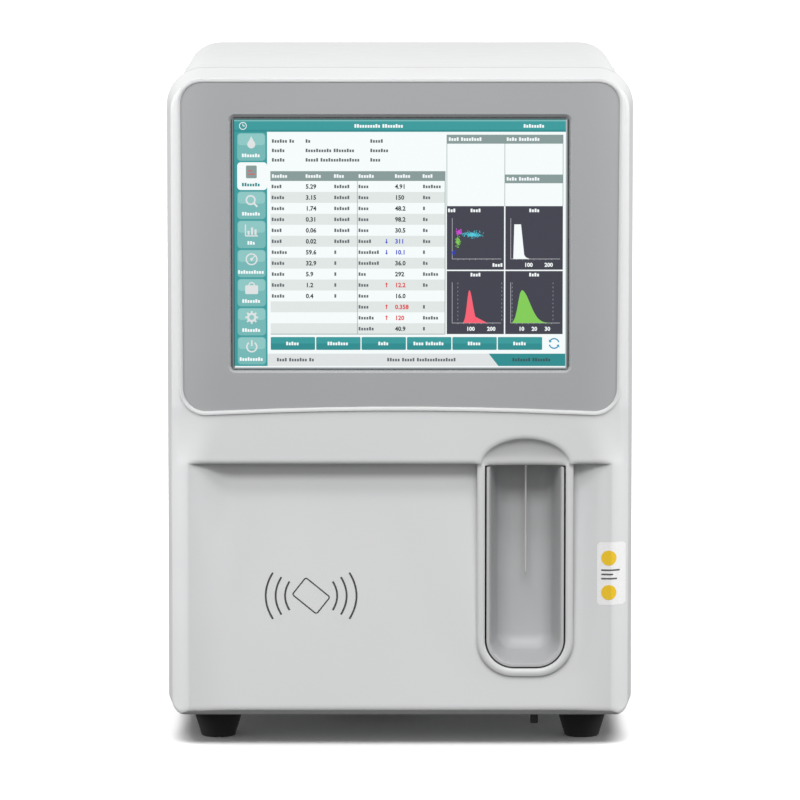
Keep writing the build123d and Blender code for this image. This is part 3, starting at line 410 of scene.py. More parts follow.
def on_screen(u, v, layer):
    """Point of the display, u right and v down from its top left corner in millimetres."""
    return (screen_left + u * MM, glass_low.y - (layer + 1) * SCREEN_LAYER, screen_top - v * MM)


def area(colour, layer, outline):
    areas.setdefault(colour, []).append([on_screen(u, v, layer) for u, v in outline])


def rectangle(colour, layer, u0, v0, u1, v1):
    area(colour, layer, [(u0, v1), (u1, v1), (u1, v0), (u0, v0)])


def arc_points(u, v, radius, start, end, steps):
    """Points of an arc; angles in degrees, counter-clockwise from the right."""
    points = []
    for i in range(steps + 1):
        angle = math.radians(start + (end - start) * i / steps)
        points.append((u + radius * math.cos(angle), v - radius * math.sin(angle)))
    return points


def rounded(colour, layer, u0, v0, u1, v1, radius):
    outline = []
    corners = ((u0 + radius, v1 - radius, 180), (u1 - radius, v1 - radius, 270),
               (u1 - radius, v0 + radius, 0), (u0 + radius, v0 + radius, 90))
    for u, v, start in corners:
        outline += arc_points(u, v, radius, start, start + 90, 4)
    area(colour, layer, outline)


def disc(colour, layer, u, v, radius, steps=16):
    area(colour, layer, arc_points(u, v, radius, 0, 360 - 360 / steps, steps - 1))


def ring(colour, layer, u, v, radius, width, start=0, end=360, steps=18):
    outer = arc_points(u, v, radius + width / 2, start, end, steps)
    inner = arc_points(u, v, radius - width / 2, start, end, steps)
    for i in range(steps):
        area(colour, layer, [inner[i], outer[i], outer[i + 1], inner[i + 1]])


def line(colour, layer, u0, v0, u1, v1, width):
    length = math.hypot(u1 - u0, v1 - v0)
    du = (v1 - v0) / length * width / 2
    dv = (u1 - u0) / length * width / 2
    area(colour, layer, [(u0 - du, v0 + dv), (u1 - du, v1 + dv),
                         (u1 + du, v1 - dv), (u0 + du, v0 - dv)])


def words(colour, layer, u, v, lengths, height=2.6):
    """Row of small blocks, one for each letter, that stands for a line of text."""
    for length in lengths:
        for i in range(max(1, round(length / (LETTER + LETTER_GAP)))):
            rise = height if i == 0 or (i + int(u)) % 4 == 0 else LOW_LETTER * height
            rectangle(colour, layer, u, v + height / 2 - rise, u + LETTER, v + height / 2)
            u += LETTER + LETTER_GAP
        u += WORD_GAP


def figures(name, colour, text, u, v, pitch=0.0, height=TEXT_HEIGHT):
    """Column of plain numerals on the display."""
    data = bpy.data.curves.new(name, "FONT")
    data.body = text
    data.size = height / CAPITAL_SHARE
    data.resolution_u = 2
    data.offset = TEXT_WEIGHT
    if pitch:
        data.space_line = pitch / data.size
    data.size *= MM
    data.materials.append(lit_colours[colour])
    piece = bpy.data.objects.new(name, data)
    scene.collection.objects.link(piece)
    piece.location = on_screen(u, v + height / 2, TEXT_LAYER)
    piece.rotation_euler = (math.pi / 2, 0, 0)
    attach(piece, "housing")
    return piece


lit_colours = {colour: lit("lit_" + name, colour) for colour, name in colour_names.items()}


def draw_frame():
    """Rim of painted shade and light, header, background and status bar."""
    # Painted bevel round the picture: glowing grey shade outside, deeper shade along the top and left
    # edges, painted light along the bottom and right
    rectangle(RIM_PAINTED_SHADE, -0.7, -1.7, -1.0, SCREEN_WIDTH + 1.7, SCREEN_HEIGHT + 1.6)
    rectangle(RIM_PAINTED_LIGHT, -0.5, 0, 0, SCREEN_WIDTH + 0.7, SCREEN_HEIGHT + 0.7)
    rectangle(RIM_DEEP_SHADE_AND_INK, -0.3, -0.7, -0.7, SCREEN_WIDTH, SCREEN_HEIGHT)
    rectangle(PAPER, 0, 0, 0, SCREEN_WIDTH, SCREEN_HEIGHT)
    rectangle(TEAL, 1, 0, 0, SCREEN_WIDTH, HEADER_HEIGHT)
    rectangle(TAB_FACE, 2, 0, 0, SCREEN_WIDTH, 1.2)
    rectangle(TEAL_DARK, 2, 0, HEADER_HEIGHT - 1.6, SCREEN_WIDTH, HEADER_HEIGHT)
    clock = 6.5
    stroke = 0.5
    ring(PAPER, 3, clock, HEADER_MIDDLE, 2.6, stroke)
    line(PAPER, 3, clock, HEADER_MIDDLE, clock, 2.9, stroke)
    line(PAPER, 3, clock, HEADER_MIDDLE, 8, HEADER_MIDDLE, stroke)
    words(PAPER, 3, 89.2, HEADER_MIDDLE, (19, 15))
    words(PAPER, 3, 214.7, HEADER_MIDDLE, (16,))
    rectangle(TEAL, 1, 0, HEADER_HEIGHT, TAB_COLUMN, STATUS_END)
    rectangle(STATUS_GREY, 1, TAB_COLUMN, STATUS_TOP, SCREEN_WIDTH, STATUS_END)
    slant = 189
    area(TEAL_DARK, 2, [(slant + 7.3, STATUS_END), (SCREEN_WIDTH, STATUS_END),
                        (SCREEN_WIDTH, STATUS_TOP), (slant, STATUS_TOP)])
    words(INK_SOFT, 2, 31.4, STATUS_MIDDLE, (8, 13, 4))
    words(INK_SOFT, 2, 113.5, STATUS_MIDDLE, (10, 10, 29))
    # Status words in the colour of the rim's painted deep shade
    words(RIM_DEEP_SHADE_AND_INK, 3, 206.7, STATUS_MIDDLE, (13, 14))


def icon_drop(c, u, v):
    disc(c, 4, u, v + 1, 3)
    area(c, 4, [(u - 2.6, v), (u + 2.6, v), (u, v - 5)])


def icon_sheet(c, u, v):
    rounded(c, 4, u - 4, v - 5, u + 4, v + 4.5, 0.8)
    line(RED, 5, u - 2.5, v - 1, u + 0.5, v - 1, 0.6)
    line(RED, 5, u - 2.5, v + 1.4, u + 2.5, v + 1.4, 0.6)


def icon_lens(c, u, v):
    ring(c, 4, u - 0.6, v - 1, 3.2, 1.2)
    line(c, 4, u + 1.6, v + 1.2, u + 4.4, v + 4, 1.4)


def icon_chart(c, u, v):
    line(c, 4, u - 4.5, v - 4.5, u - 4.5, v + 4, 0.9)
    line(c, 4, u - 4.5, v + 4, u + 4.8, v + 4, 0.9)
    for i, rise in enumerate((3, 5.5, 4)):
        rectangle(c, 4, u - 3 + 2.6 * i, v + 3.2 - rise, u - 1.4 + 2.6 * i, v + 3.2)


def icon_dial(c, u, v):
    ring(c, 4, u, v - 0.3, 4, 1)
    disc(c, 4, u, v - 0.3, 1.1)
    line(c, 4, u, v - 0.3, u + 2.4, v - 2.7, 0.8)


def icon_case(c, u, v):
    rounded(c, 4, u - 4.8, v - 2.6, u + 4.8, v + 4, 0.9)
    ring(c, 4, u, v - 2.6, 2, 0.9, 0, 180, 8)


def icon_gear(c, u, v):
    ring(c, 4, u, v - 0.3, 2.7, 1.6)
    for i in range(8):
        a = math.radians(45 * i)
        line(c, 4, u + 3 * math.cos(a), v - 0.3 - 3 * math.sin(a),
             u + 4.8 * math.cos(a), v - 0.3 - 4.8 * math.sin(a), 1.3)


def icon_power(c, u, v):
    ring(c, 4, u, v, 3.7, 1.1, 125, 415)
    line(c, 4, u, v - 5, u, v - 0.6, 1.1)


def draw_tabs():
    """Column of tabs with a simple sign and a word bar each."""
    icons = (icon_drop, icon_sheet, icon_lens, icon_chart, icon_dial, icon_case, icon_gear, icon_power)
    captions = (14, 14, 14, 6, 20, 14, 14, 18)
    for i, (icon, caption) in enumerate(zip(icons, captions)):
        top = TAB_TOP + i * TAB_PITCH
        middle = TAB_LEFT + TAB_SIZE[0] / 2
        active = i == ACTIVE_TAB
        right = TAB_COLUMN if active else TAB_LEFT + TAB_SIZE[0]
        rounded(PAPER if active else TAB_FACE, 2, TAB_LEFT, top, right, top + TAB_SIZE[1], 2.6)
        if not active:
            rounded(TAB_SHINE, 3, TAB_LEFT + 0.5, top + 0.5, right - 0.5, top + 9, 2.2)
        icon(TABLE_GREEN if active else STATUS_GREY, middle, top + 7.4)
        words(TEAL_DARK if active else PAPER, 4, middle - caption / 2, top + 16.6, (caption,))


def draw_details():
    """Sample details above the table."""
    rows = (((12, 4), (4,), (10,)), ((10,), (19, 15), (13,)), ((10,), (10, 30), (7,)))
    first = 15.8
    pitch = 7
    for i, row in enumerate(rows):
        for u, lengths in zip((28, 53, 101), row):
            words(INK_SOFT, 2, u, first + pitch * i, lengths)


def draw_table():
    """Two blocks of results with tinted rows."""
    rectangle(TABLE_GREEN, 1, TABLE_LEFT, TABLE_TOP, TABLE_RIGHT, TABLE_TOP + TABLE_HEADER)
    for u, length in ((28, 12), (53, 12), (74, 8), (92.3, 12), (119.3, 12), (139.8, 8)):
        words(PAPER, 2, u, TABLE_TOP + TABLE_HEADER / 2, (length,))
    left_names = (8, 10, 10, 10, 8, 8, 12, 10, 10, 10, 10)
    right_names = (8, 8, 8, 8, 8, 10, 16, 16, 6, 8, 8, 8, 12, 12)
    left_units = (12, 12, 12, 12, 12, 12, 2, 2, 2, 2, 2)
    right_units = (14, 6, 2, 4, 4, 6, 2, 4, 12, 4, 0, 2, 12, 2)
    low_rows = (5, 6)
    high_rows = (9, 11, 12)
    first = TABLE_TOP + TABLE_HEADER
    for row in range(TABLE_ROWS):
        top = first + row * ROW_PITCH
        middle = top + ROW_PITCH / 2
        if row % 2:
            rectangle(ROW_TINT, 1, TABLE_LEFT, top, TABLE_RIGHT, top + ROW_PITCH)
        if row < len(left_names):
            words(INK_SOFT, 2, LEFT_COLUMNS[0], middle, (left_names[row],))
            words(INK_SOFT, 2, LEFT_COLUMNS[2], middle, (left_units[row],))
        words(INK_SOFT, 2, RIGHT_COLUMNS[0], middle, (right_names[row],))
        if right_units[row]:
            words(INK_SOFT, 2, RIGHT_COLUMNS[2], middle, (right_units[row],))
        if row in low_rows:
            line(BLUE, 2, FLAG_COLUMN, middle - 1.7, FLAG_COLUMN, middle + 0.9, 0.7)
            area(BLUE, 2, [(FLAG_COLUMN - 1.1, middle + 0.5), (FLAG_COLUMN, middle + 1.9),
                           (FLAG_COLUMN + 1.1, middle + 0.5)])
        if row in high_rows:
            line(RED, 2, FLAG_COLUMN, middle + 1.7, FLAG_COLUMN, middle - 0.9, 0.7)
            area(RED, 2, [(FLAG_COLUMN - 1.1, middle - 0.5), (FLAG_COLUMN + 1.1, middle - 0.5),
                          (FLAG_COLUMN, middle - 1.9)])
    bottom = first + TABLE_ROWS * ROW_PITCH
    line(TABLE_GREEN, 2, TABLE_MIDDLE, first, TABLE_MIDDLE, bottom, 0.4)
    line(TABLE_GREEN, 2, TABLE_RIGHT, TABLE_TOP, TABLE_RIGHT, bottom, 0.5)
    line(TABLE_GREEN, 2, TABLE_LEFT, bottom, TABLE_RIGHT, bottom, 0.5)
    left = "5.29\n3.15\n1.74\n0.31\n0.06\n0.02\n59.6\n32.9\n5.9\n1.2\n0.4"
    figures("figures_left", INK, left, LEFT_COLUMNS[1], first + ROW_PITCH / 2, ROW_PITCH)
    groups = (("figures_right_upper", INK, "4.91\n150\n48.2\n98.2\n30.5", 0.5),
              ("figures_low", BLUE, "311\n10.1", 5.5),
              ("figures_right_middle", INK, "36.0\n292", 7.5),
              ("figures_high", RED, "12.2\n\n0.358\n120", 9.5),
              ("figures_right_lower", INK, "16.0\n\n\n40.9", 10.5))
    for name, colour, text, row in groups:
        figures(name, colour, text, RIGHT_COLUMNS[1], first + ROW_PITCH * row, ROW_PITCH)


def draw_messages():
    """Empty message boxes at the top right."""
    title = (8, 16)
    rectangle(TABLE_GREEN, 1, RIGHT_LEFT, MESSAGE_TOP, RIGHT_END, 17.8)
    for u in MESSAGE_COLUMNS:
        words(PAPER, 2, u, 14.4, title)
    rectangle(TABLE_GREEN, 1, RIGHT_MIDDLE, 40.7, RIGHT_END, 47.2)
    words(PAPER, 2, MESSAGE_COLUMNS[1], 43.9, title)
    for u in (RIGHT_LEFT, RIGHT_MIDDLE, RIGHT_END):
        line(TABLE_GREEN, 1, u, MESSAGE_TOP, u, PLOT_TOP, 0.4)


def bell(low, peak, high, base, top):
    """Outline of a skewed hump between low and high, for a histogram."""
    outline = [(high, base), (low, base)]
    steps = 26
    for i in range(1, steps):
        place = low + (high - low) * i / steps
        width = (peak - low) / 2.0 if place < peak else (high - peak) / 2.8
        outline.append((place, base - (base - top) * math.exp(-((place - peak) / width) ** 2)))
    return outline


def draw_plots():
    """Four dark plots: a scatter of cells and three size histograms."""
    gap = 0.5
    inset = 4
    title_drop = 3.2
    base_upper = PLOT_MIDDLE - 8.5
    base_lower = PLOT_END - 8.3
    for left, right in ((RIGHT_LEFT, RIGHT_MIDDLE - gap), (RIGHT_MIDDLE + gap, RIGHT_END)):
        rectangle(PLOT_DARK, 1, left, PLOT_TOP, right, PLOT_MIDDLE - gap)
        rectangle(PLOT_DARK, 1, left, PLOT_MIDDLE + gap, right, PLOT_END)
        for top, base in ((PLOT_TOP, base_upper), (PLOT_MIDDLE, base_lower)):
            line(PLOT_LINE, 2, left + inset, top + 9, left + inset, base, 0.3)
            line(PLOT_LINE, 2, left + inset, base, right - 2, base, 0.3)
            words(PAPER, 2, (left + right) / 2 - 3.6, top + title_drop, (7,))
            for i in range(1, 8):
                tick = left + inset + i * (right - left - 2 * inset) / 8
                line(PLOT_LINE, 2, tick, base, tick, base + 0.8, 0.2)
    words(PAPER, 2, RIGHT_LEFT + 0.9, PLOT_TOP + title_drop, (6,))
    words(PAPER, 2, RIGHT_MIDDLE - 9, PLOT_MIDDLE - 4, (7,))
    dots = random.Random(7)
    clusters = ((MAGENTA, 167, 83.6, 1.1, 1.0, 60), (CYAN, 176.6, 85.4, 3.0, 1.0, 150),
                (LEAF, 166, 91, 0.9, 1.7, 90), (BLUE, 162.8, 99.2, 0.6, 0.9, 30),
                (TEAL_LIGHT, 176.6, 85.4, 1.4, 0.5, 30))
    size = 0.28
    for colour, u, v, spread_u, spread_v, count in clusters:
        for _ in range(count):
            a = u + dots.gauss(0, spread_u)
            b = v + dots.gauss(0, spread_v)
            rectangle(colour, 3, a - size, b - size, a + size, b + size)
    plateau = 77.8
    hump_top = 126.8
    area(PAPER, 3, [(219.5, base_upper), (207.2, base_upper), (207.9, plateau), (212.9, plateau),
                    (215.3, base_upper - 3), (216.6, base_upper - 1.2)])
    area(PINK, 3, bell(169.8, 174.5, 184.5, base_lower, hump_top))
    area(PINK, 3, [(188, base_lower), (176, base_lower), (178.5, base_lower - 5)])
    area(LEAF, 3, bell(206.2, 213.4, 238, base_lower, hump_top))
    for u in (166, 198.7, 206.4, 236.8):
        for i in range(10):
            line(PLOT_LINE, 3, u, base_lower - 2 - 3 * i, u, base_lower - 3.2 - 3 * i, 0.2)
    ticks = ((215.4, base_upper, "100"), (230.4, base_upper, "200"),
             (172.4, base_lower, "100"), (187.8, base_lower, "200"),
             (211.3, base_lower, "10"), (220.9, base_lower, "20"), (230.6, base_lower, "30"))
    for u, base, text in ticks:
        figures(f"tick_{int(u)}_{int(base)}", PAPER, text, u, base + 4.3, height=2.9)


def draw_buttons():
    """Row of buttons and the refresh sign under the table."""
    captions = ((10,), (16,), (8,), (8, 14), (10,), (10,))
    for i in range(BUTTON_COUNT):
        left = TABLE_LEFT + i * BUTTON_PITCH
        right = left + BUTTON_PITCH - 0.8
        rounded(TEAL_DARK, 1, left, BUTTON_TOP, right, BUTTON_TOP + BUTTON_HEIGHT, 0.7)
        rounded(TEAL, 2, left + 0.3, BUTTON_TOP + 0.3, right - 0.3, BUTTON_TOP + BUTTON_HEIGHT * 0.5, 0.6)
        length = sum(captions[i]) + WORD_GAP * (len(captions[i]) - 1)
        words(PAPER, 3, (left + right - length) / 2, BUTTON_TOP + BUTTON_HEIGHT / 2, captions[i])
    u, v, radius = 237.7, 166.7, 3.6
    for start in (15, 195):
        ring(REFRESH, 2, u, v, radius, 1, start, start + 135)
        tip = math.radians(start + 155)
        root = math.radians(start + 128)
        area(REFRESH, 2, [
            (u + (radius - 1.6) * math.cos(root), v - (radius - 1.6) * math.sin(root)),
            (u + (radius + 1.6) * math.cos(root), v - (radius + 1.6) * math.sin(root)),
            (u + radius * math.cos(tip), v - radius * math.sin(tip)),
        ])


def show_screen():
    """Turns the gathered areas into one mesh for each colour."""
    for colour, outlines in areas.items():
        vertices = []
        faces = []
        for outline in outlines:
            start = len(vertices)
            vertices += outline
            faces.append(tuple(range(start, start + len(outline))))
        name = "screen_" + colour_names[colour]
        mesh_piece(name, vertices, faces, lit_colours[colour])


draw_frame()
draw_tabs()
draw_details()
draw_table()
draw_messages()
draw_plots()
draw_buttons()
show_screen()

# Marks on the front cover
cover = nodes["front_cover"]
MARK_X = -66.55 * MM
MARK_Z = 111.7 * MM
MARK_CARD = (23.3, 16.2)
MARK_CORNER = 1.6
MARK_TURN = 38.8
CARD_LINE = 1.0
ARC_LINE = 1.4
MARK_ARCS = ((19.5, 10.7), (26.6, 14.0), (34.0, 17.3))
ARC_BOW = 0.31
STICKER = (147.4, 169, 105.5, 152.8)


def cover_point(x, z, lift=DECAL):
    """Point just in front of the cover's outer surface, seen from the front."""
    _, place, _, _ = cover.ray_cast(Vector((x, -1, z)), Vector((0, 1, 0)))
    return (x, place.y - lift, z)


def mark_strip(points, width, closed=False):
    """Pair of edges that follows points, in millimetres from the mark's middle, at the line's width."""
    count = len(points)
    vertices = []
    for i, (u, v) in enumerate(points):
        before = points[i - 1] if closed or i else points[0]
        after = points[(i + 1) % count] if closed or i < count - 1 else points[-1]
        du, dv = after[0] - before[0], after[1] - before[1]
        length = math.hypot(du, dv)
        for side in (-width / 2, width / 2):
            x = MARK_X + (u - dv / length * side) * MM
            z = MARK_Z + (v + du / length * side) * MM
            vertices.append(cover_point(x, z))
    faces = []
    for i in range(count if closed else count - 1):
        a, b = 2 * i, 2 * ((i + 1) % count)
        faces.append((a, b, b + 1, a + 1))
    return vertices, faces


def rounded_card():
    """Outline of the turned card, with rounded corners."""
    turn = math.radians(-MARK_TURN)
    reach_u = MARK_CARD[0] / 2 - MARK_CORNER
    reach_v = MARK_CARD[1] / 2 - MARK_CORNER
    outline = []
    for sign_u, sign_v, start in ((1, 1, 0), (-1, 1, 90), (-1, -1, 180), (1, -1, 270)):
        for i in range(7):
            angle = math.radians(start + 15 * i)
            outline.append((sign_u * reach_u + MARK_CORNER * math.cos(angle),
                            sign_v * reach_v + MARK_CORNER * math.sin(angle)))
    return [(u * math.cos(turn) - v * math.sin(turn), u * math.sin(turn) + v * math.cos(turn))
            for u, v in outline]


mark_ink = printed("mark_ink", grey(64), 0.5)
mark_vertices = []
mark_faces = []
strips = [mark_strip(rounded_card(), CARD_LINE, True)]
for reach, half_height in MARK_ARCS:
    bow = half_height * ARC_BOW
    for side in (-1, 1):
        curve = [(side * (reach - bow * (t / 10) ** 2), half_height * t / 10) for t in range(-10, 11)]
        strips.append(mark_strip(curve, ARC_LINE))
for vertices, faces in strips:
    start = len(mark_vertices)
    mark_vertices += vertices
    mark_faces += [tuple(start + i for i in face) for face in faces]
mesh_piece("card_mark", mark_vertices, mark_faces, mark_ink)


def sticker_piece(name, left, right, low, high, radius, material, lift):
    """Film pasted on the cover's rolled edge, with rounded corners."""
    columns = 16
    rows = 24
    vertices = []
    faces = []
    for row in range(rows + 1):
        z = low + (high - low) * row / rows
        inset = 0.0
        for edge in (z - low, high - z):
            if edge < radius:
                inset = radius - math.sqrt(radius**2 - (radius - edge) ** 2)
        for column in range(columns + 1):
            x = left + inset + (right - left - 2 * inset) * column / columns
            vertices.append(cover_point(x * MM, z * MM, lift))
    for row in range(rows):
        for column in range(columns):
            a = row * (columns + 1) + column
            faces.append((a, a + 1, a + columns + 2, a + columns + 1))
    return mesh_piece(name, vertices, faces, material, smooth=True)


left, right, low, high = STICKER
film = printed("sticker_white", grey(240), 0.3)
sticker_piece("side_sticker", left, right, low, high, 2, film, DECAL)
amber = printed("sticker_amber", (0.85, 0.55, 0.02), 0.35)
sticker_ink = printed("sticker_ink", grey(90), 0.4)
middle = (low + high) / 2
print_left = left + 3
dot_right = left + 14.5
dot_radius = 5.74
for label, start, end in (("upper", 6, 17.5), ("lower", -20, -8.5)):
    sticker_piece(f"sticker_dot_{label}", print_left, dot_right, middle + start, middle + end, dot_radius,
                  amber, 2 * DECAL)
half_bar = 0.6
for i, end in enumerate((17, 12, 15)):
    z = middle + 2.6 - 3.2 * i
    sticker_piece(f"sticker_bar_{i}", print_left, left + end, z - half_bar, z + half_bar, 0.4,
                  sticker_ink, 2 * DECAL)


# Screws, each a domed head with a six-lobed recess
HEAD_SEGMENTS = 48
HEAD_PROFILE = ((0, 0.45, 0), (0.9, 0.45, 0.12), (1.0, 0.62, 0.12), (1.15, 1.42, 0.02), (1.5, 1.42, 0),
                (2.2, 1.25, 0), (2.8, 0.8, 0), (3.1, 0.25, 0), (3.1, 0, 0))


def screws(name, places, normal, material, scale=1.0):
    """Group of screw heads that stand on a face; normal points out of it."""
    turn = Vector((0, 0, 1)).rotation_difference(Vector(normal))
    vertices = []
    faces = []
    for place in places:
        start = len(vertices)
        for radius, height, lobes in HEAD_PROFILE:
            for i in range(HEAD_SEGMENTS):
                angle = 2 * math.pi * i / HEAD_SEGMENTS
                reach = radius * (1 + lobes * math.cos(6 * angle)) * scale
                point = Vector((reach * math.cos(angle), reach * math.sin(angle), height * scale)) * MM
                vertices.append(Vector(place) + turn @ point)
        for ring_index in range(len(HEAD_PROFILE) - 1):
            for i in range(HEAD_SEGMENTS):
                a = start + ring_index * HEAD_SEGMENTS + i
                b = start + ring_index * HEAD_SEGMENTS + (i + 1) % HEAD_SEGMENTS
                faces.append((a, a + HEAD_SEGMENTS, b + HEAD_SEGMENTS, b))
    return mesh_piece(name, vertices, faces, material, smooth=True)


steel = finishes["plated_steel"]
panel_low, panel_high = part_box("left_panel")
rear_margin = 8 * MM
door_margin = 3 * rear_margin
rear_places = []
for x in (rear_low.x + rear_margin, rear_high.x - door_margin):
    for share in (0.06, 0.36, 0.64, 0.86):
        rear_places.append((x, rear_y, rear_low.z + share * (rear_high.z - rear_low.z)))
rear_places.append((0, rear_y, rear_high.z - rear_margin))
rear_places.append((0, rear_y, rear_low.z + rear_margin))
screws("rear_screws", rear_places, (0, 1, 0), steel)
panel_margin = 12 * MM
skirt_z = panel_high.z + panel_margin
side_y = (-0.13, 0.02, 0.18)
screws("skirt_screws_left", [(shell_low.x, y, skirt_z) for y in side_y], (-1, 0, 0), steel)
screws("skirt_screws_right", [(shell_high.x, y, skirt_z) for y in side_y], (1, 0, 0), steel)
panel_places = []
for y in (panel_low.y + panel_margin, panel_high.y - panel_margin):
    for z in (panel_low.z + panel_margin, panel_high.z - panel_margin):
        panel_places.append((panel_low.x, y, z))
screws("panel_screws", panel_places, (-1, 0, 0), steel)
guard_low, guard_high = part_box("fan_guard")
fan_centre = (guard_low + guard_high) / 2
screw_offset = 35.8 * MM
guard_places = []
for dx in (-screw_offset, screw_offset):
    for dz in (-screw_offset, screw_offset):
        guard_places.append((fan_centre.x + dx, guard_high.y, fan_centre.z + dz))
screws("fan_screws", guard_places, (0, 1, 0), finishes["black_plastic"], scale=0.9)
inlet_low, inlet_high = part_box("power_inlet")
inlet_centre = (inlet_low + inlet_high) / 2
inlet_margin = 5 * MM
inlet_places = []
for x in (inlet_low.x + inlet_margin, inlet_high.x - inlet_margin):
    inlet_places.append((x, inlet_high.y, inlet_centre.z))
screws("inlet_screws", inlet_places, (0, 1, 0), steel, scale=0.8)


def band(name, centre, radius, width, thickness, axis, material):
    """Rounded ring round an axis, made as a swept section."""
    turn = Vector((0, 0, 1)).rotation_difference(Vector(axis))
    sides = 12
    around = 40
    section = []
    for i in range(sides):
        angle = 2 * math.pi * i / sides
        section.append((radius + thickness / 2 * math.cos(angle), width / 2 * math.sin(angle)))
    vertices = []
    faces = []
    for i in range(around):
        angle = 2 * math.pi * i / around
        for reach, height in section:
            point = Vector((reach * math.cos(angle), reach * math.sin(angle), height)) * MM
            vertices.append(Vector(centre) + turn @ point)
    for i in range(around):
        for j in range(sides):
            a = i * sides + j
            b = i * sides + (j + 1) % sides
            c = ((i + 1) % around) * sides
            faces.append((a, c + j, c + (j + 1) % sides, b))
    return mesh_piece(name, vertices, faces, material, smooth=True)


# Return springs of the aspirate key
SPRING_WIRE = 0.9
SPRING_TURNS = 3
springs_low, springs_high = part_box("key_springs")


def coil(name, centre_x, centre_z, radius, wire, start_y, end_y, turns, material):
    """Round wire wound on a cylinder along Y."""
    steps = 36 * turns
    sides = 10
    vertices = []
    faces = []
    for i in range(steps + 1):
        angle = 2 * math.pi * turns * i / steps
        y = start_y + (end_y - start_y) * i / steps
        for j in range(sides):
            corner = 2 * math.pi * j / sides
            reach = radius + wire / 2 * math.cos(corner)
            vertices.append((centre_x + reach * math.cos(angle), y + wire / 2 * math.sin(corner),
                             centre_z + reach * math.sin(angle)))
    for i in range(steps):
        for j in range(sides):
            a = i * sides + j
            b = i * sides + (j + 1) % sides
            faces.append((a, a + sides, b + sides, b))
    last = steps * sides
    faces.append(tuple(range(sides)))
    faces.append(tuple(last + j for j in reversed(range(sides))))
    return mesh_piece(name, vertices, faces, material, smooth=True)


wire = SPRING_WIRE * MM
coil_radius = (springs_high.x - springs_low.x - wire) / 2
coil_x = (springs_low.x + springs_high.x) / 2
lower_z = springs_low.z + coil_radius + wire / 2
upper_z = springs_high.z - coil_radius - wire / 2
for label, z in (("lower", lower_z), ("upper", upper_z)):
    turned = coil(f"key_spring_{label}", coil_x, z, coil_radius, wire, springs_low.y + wire / 2,
                  springs_high.y - wire / 2, SPRING_TURNS, finishes["spring_steel"])
    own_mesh(turned)
    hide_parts("key_springs")


# Colour rings on the reagent fittings
ports_low, ports_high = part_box("reagent_ports")
port_x = (ports_low.x + ports_high.x) / 2
ring_colours = ((0.02, 0.12, 0.55), (0.02, 0.35, 0.12), (0.55, 0.03, 0.02), (0.7, 0.5, 0.03))
port_heights = (110, 145, 180, 215)
for i, (height, colour) in enumerate(zip(port_heights, ring_colours)):
    finish = moulded(f"ring_plastic_{i}", colour, 0.35)
    band(f"port_ring_{i}", (port_x, rear_y + 5 * MM, height * MM), 3.4, 2, 2, (0, 1, 0), finish)


# Floor, lights and camera
def floor():
    """Pale floor with its own wash of light; returns the receivers for the lights that leave it out."""
    s = Shader("studio_floor")
    s.link(s.blend(s.noise(3, 2), (0.90, 0.90, 0.90), (0.92, 0.92, 0.92)), s.bsdf.inputs["Base Color"])
    s.link(s.stretch_range(s.noise(8), 0.55, 0.65), s.bsdf.inputs["Roughness"])
    mesh = bpy.data.meshes.new("floor")
    mesh.from_pydata([(-FLOOR_REACH, FLOOR_NEAR, 0), (FLOOR_REACH, FLOOR_NEAR, 0),
                      (FLOOR_REACH, FLOOR_REACH, 0), (-FLOOR_REACH, FLOOR_REACH, 0)], [], [(0, 1, 2, 3)])
    mesh.materials.append(s.material)
    plane = bpy.data.objects.new("floor", mesh)
    scene.collection.objects.link(plane)
    plane.visible_diffuse = False
    plane.visible_glossy = False
    receivers = bpy.data.collections.new("floor_only")
    receivers.objects.link(plane)
    sun = bpy.data.lights.new("floor_wash", "SUN")
    sun.energy = FLOOR_WASH
    sun.angle = WASH_SPREAD
    wash = bpy.data.objects.new("floor_wash", sun)
    scene.collection.objects.link(wash)
    wash.light_linking.receiver_collection = receivers
    others = bpy.data.collections.new("all_but_floor")
    others.objects.link(plane)
    others.collection_objects[0].light_linking.link_state = "EXCLUDE"
    return others


def area_light(name, place, target, size, power, receivers):
    """Soft rectangular light that faces a target."""
    data = bpy.data.lights.new(name, "AREA")
    data.shape = "RECTANGLE"
    data.size, data.size_y = size
    data.energy = power
    light = bpy.data.objects.new(name, data)
    scene.collection.objects.link(light)
    light.location = place
    light.rotation_euler = (Vector(target) - Vector(place)).to_track_quat("-Z", "Y").to_euler()
    light.light_linking.receiver_collection = receivers


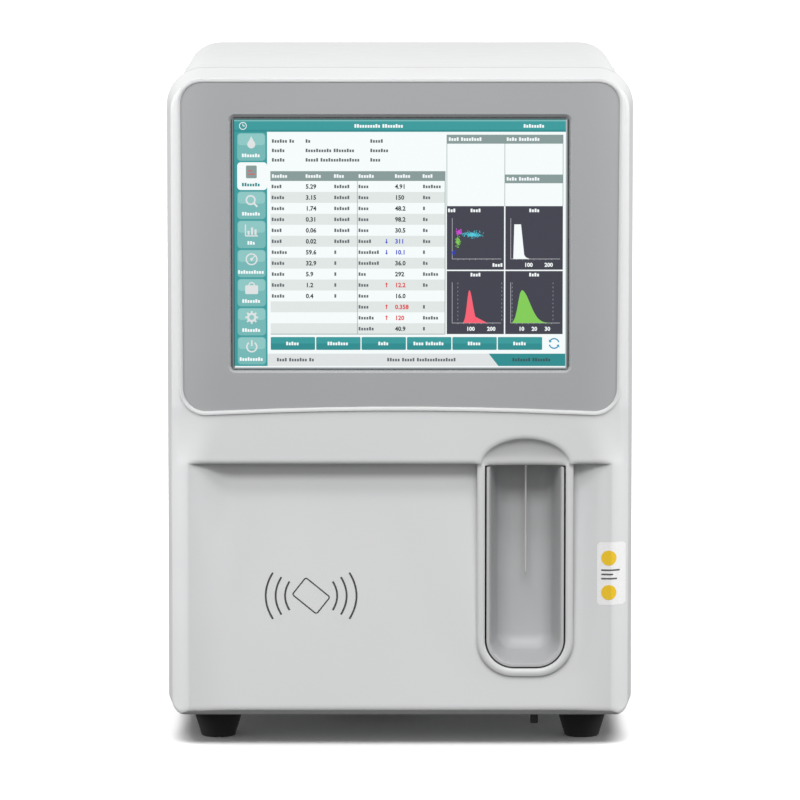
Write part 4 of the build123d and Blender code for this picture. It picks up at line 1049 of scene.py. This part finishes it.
def studio(receivers):
    """Pale dome over a darker ground, softboxes in front and behind, and a strip at each side."""
    world = bpy.data.worlds.new("studio")
    world.use_nodes = True
    tree = world.node_tree
    place = tree.nodes.new("ShaderNodeTexCoord")
    split = tree.nodes.new("ShaderNodeSeparateXYZ")
    span = tree.nodes.new("ShaderNodeMapRange")
    span.inputs["From Min"].default_value = -1.0
    ramp = tree.nodes.new("ShaderNodeValToRGB")
    levels = ((0.36, GROUND_LIGHT), (0.5, HORIZON_LIGHT), (0.625, SKY_LIGHT), (1.0, ZENITH_LIGHT))
    ramp.color_ramp.elements[0].position = levels[0][0]
    ramp.color_ramp.elements[1].position = levels[-1][0]
    for height, _ in levels[1:-1]:
        ramp.color_ramp.elements.new(height)
    for stop, (_, light) in zip(ramp.color_ramp.elements, levels):
        stop.color = (light,) * 3 + (1,)
    tree.links.new(place.outputs["Generated"], split.inputs["Vector"])
    tree.links.new(split.outputs["Z"], span.inputs["Value"])
    tree.links.new(span.outputs["Result"], ramp.inputs["Fac"])
    tree.links.new(ramp.outputs["Color"], tree.nodes["Background"].inputs["Color"])
    tree.nodes["Background"].inputs["Strength"].default_value = 1.0
    scene.world = world
    wide = (1.8, 0.7)
    tall = (0.5, 0.9)
    area_light("high_fill", (0, -1.8, 3.0), (0, -0.2, 0.3), wide, HIGH_POWER, receivers)
    area_light("front_fill", (0, -2.4, 1.9), (0, -0.2, 0.35), wide, FRONT_POWER, receivers)
    area_light("left_strip", (-1.6, -0.25, 0.75), (0, -0.15, 0.4), tall, STRIP_POWER, receivers)
    area_light("right_strip", (1.6, -0.25, 0.75), (0, -0.15, 0.4), tall, STRIP_POWER, receivers)
    area_light("rear_fill", (0, 1.6, 2.6), (0, 0.2, 0.25), wide, REAR_POWER, receivers)


def camera():
    data = bpy.data.cameras.new("camera")
    data.sensor_width = 36
    data.lens = CAMERA_LENS
    data.clip_start = 0.1
    data.clip_end = 200
    view = bpy.data.objects.new("camera", data)
    scene.collection.objects.link(view)
    view.location = (0, front_y - CAMERA_DISTANCE, CAMERA_HEIGHT)
    view.rotation_euler = (math.pi / 2 - CAMERA_TILT, 0, 0)
    scene.camera = view


studio(floor())
camera()
scene.view_settings.view_transform = "Standard"
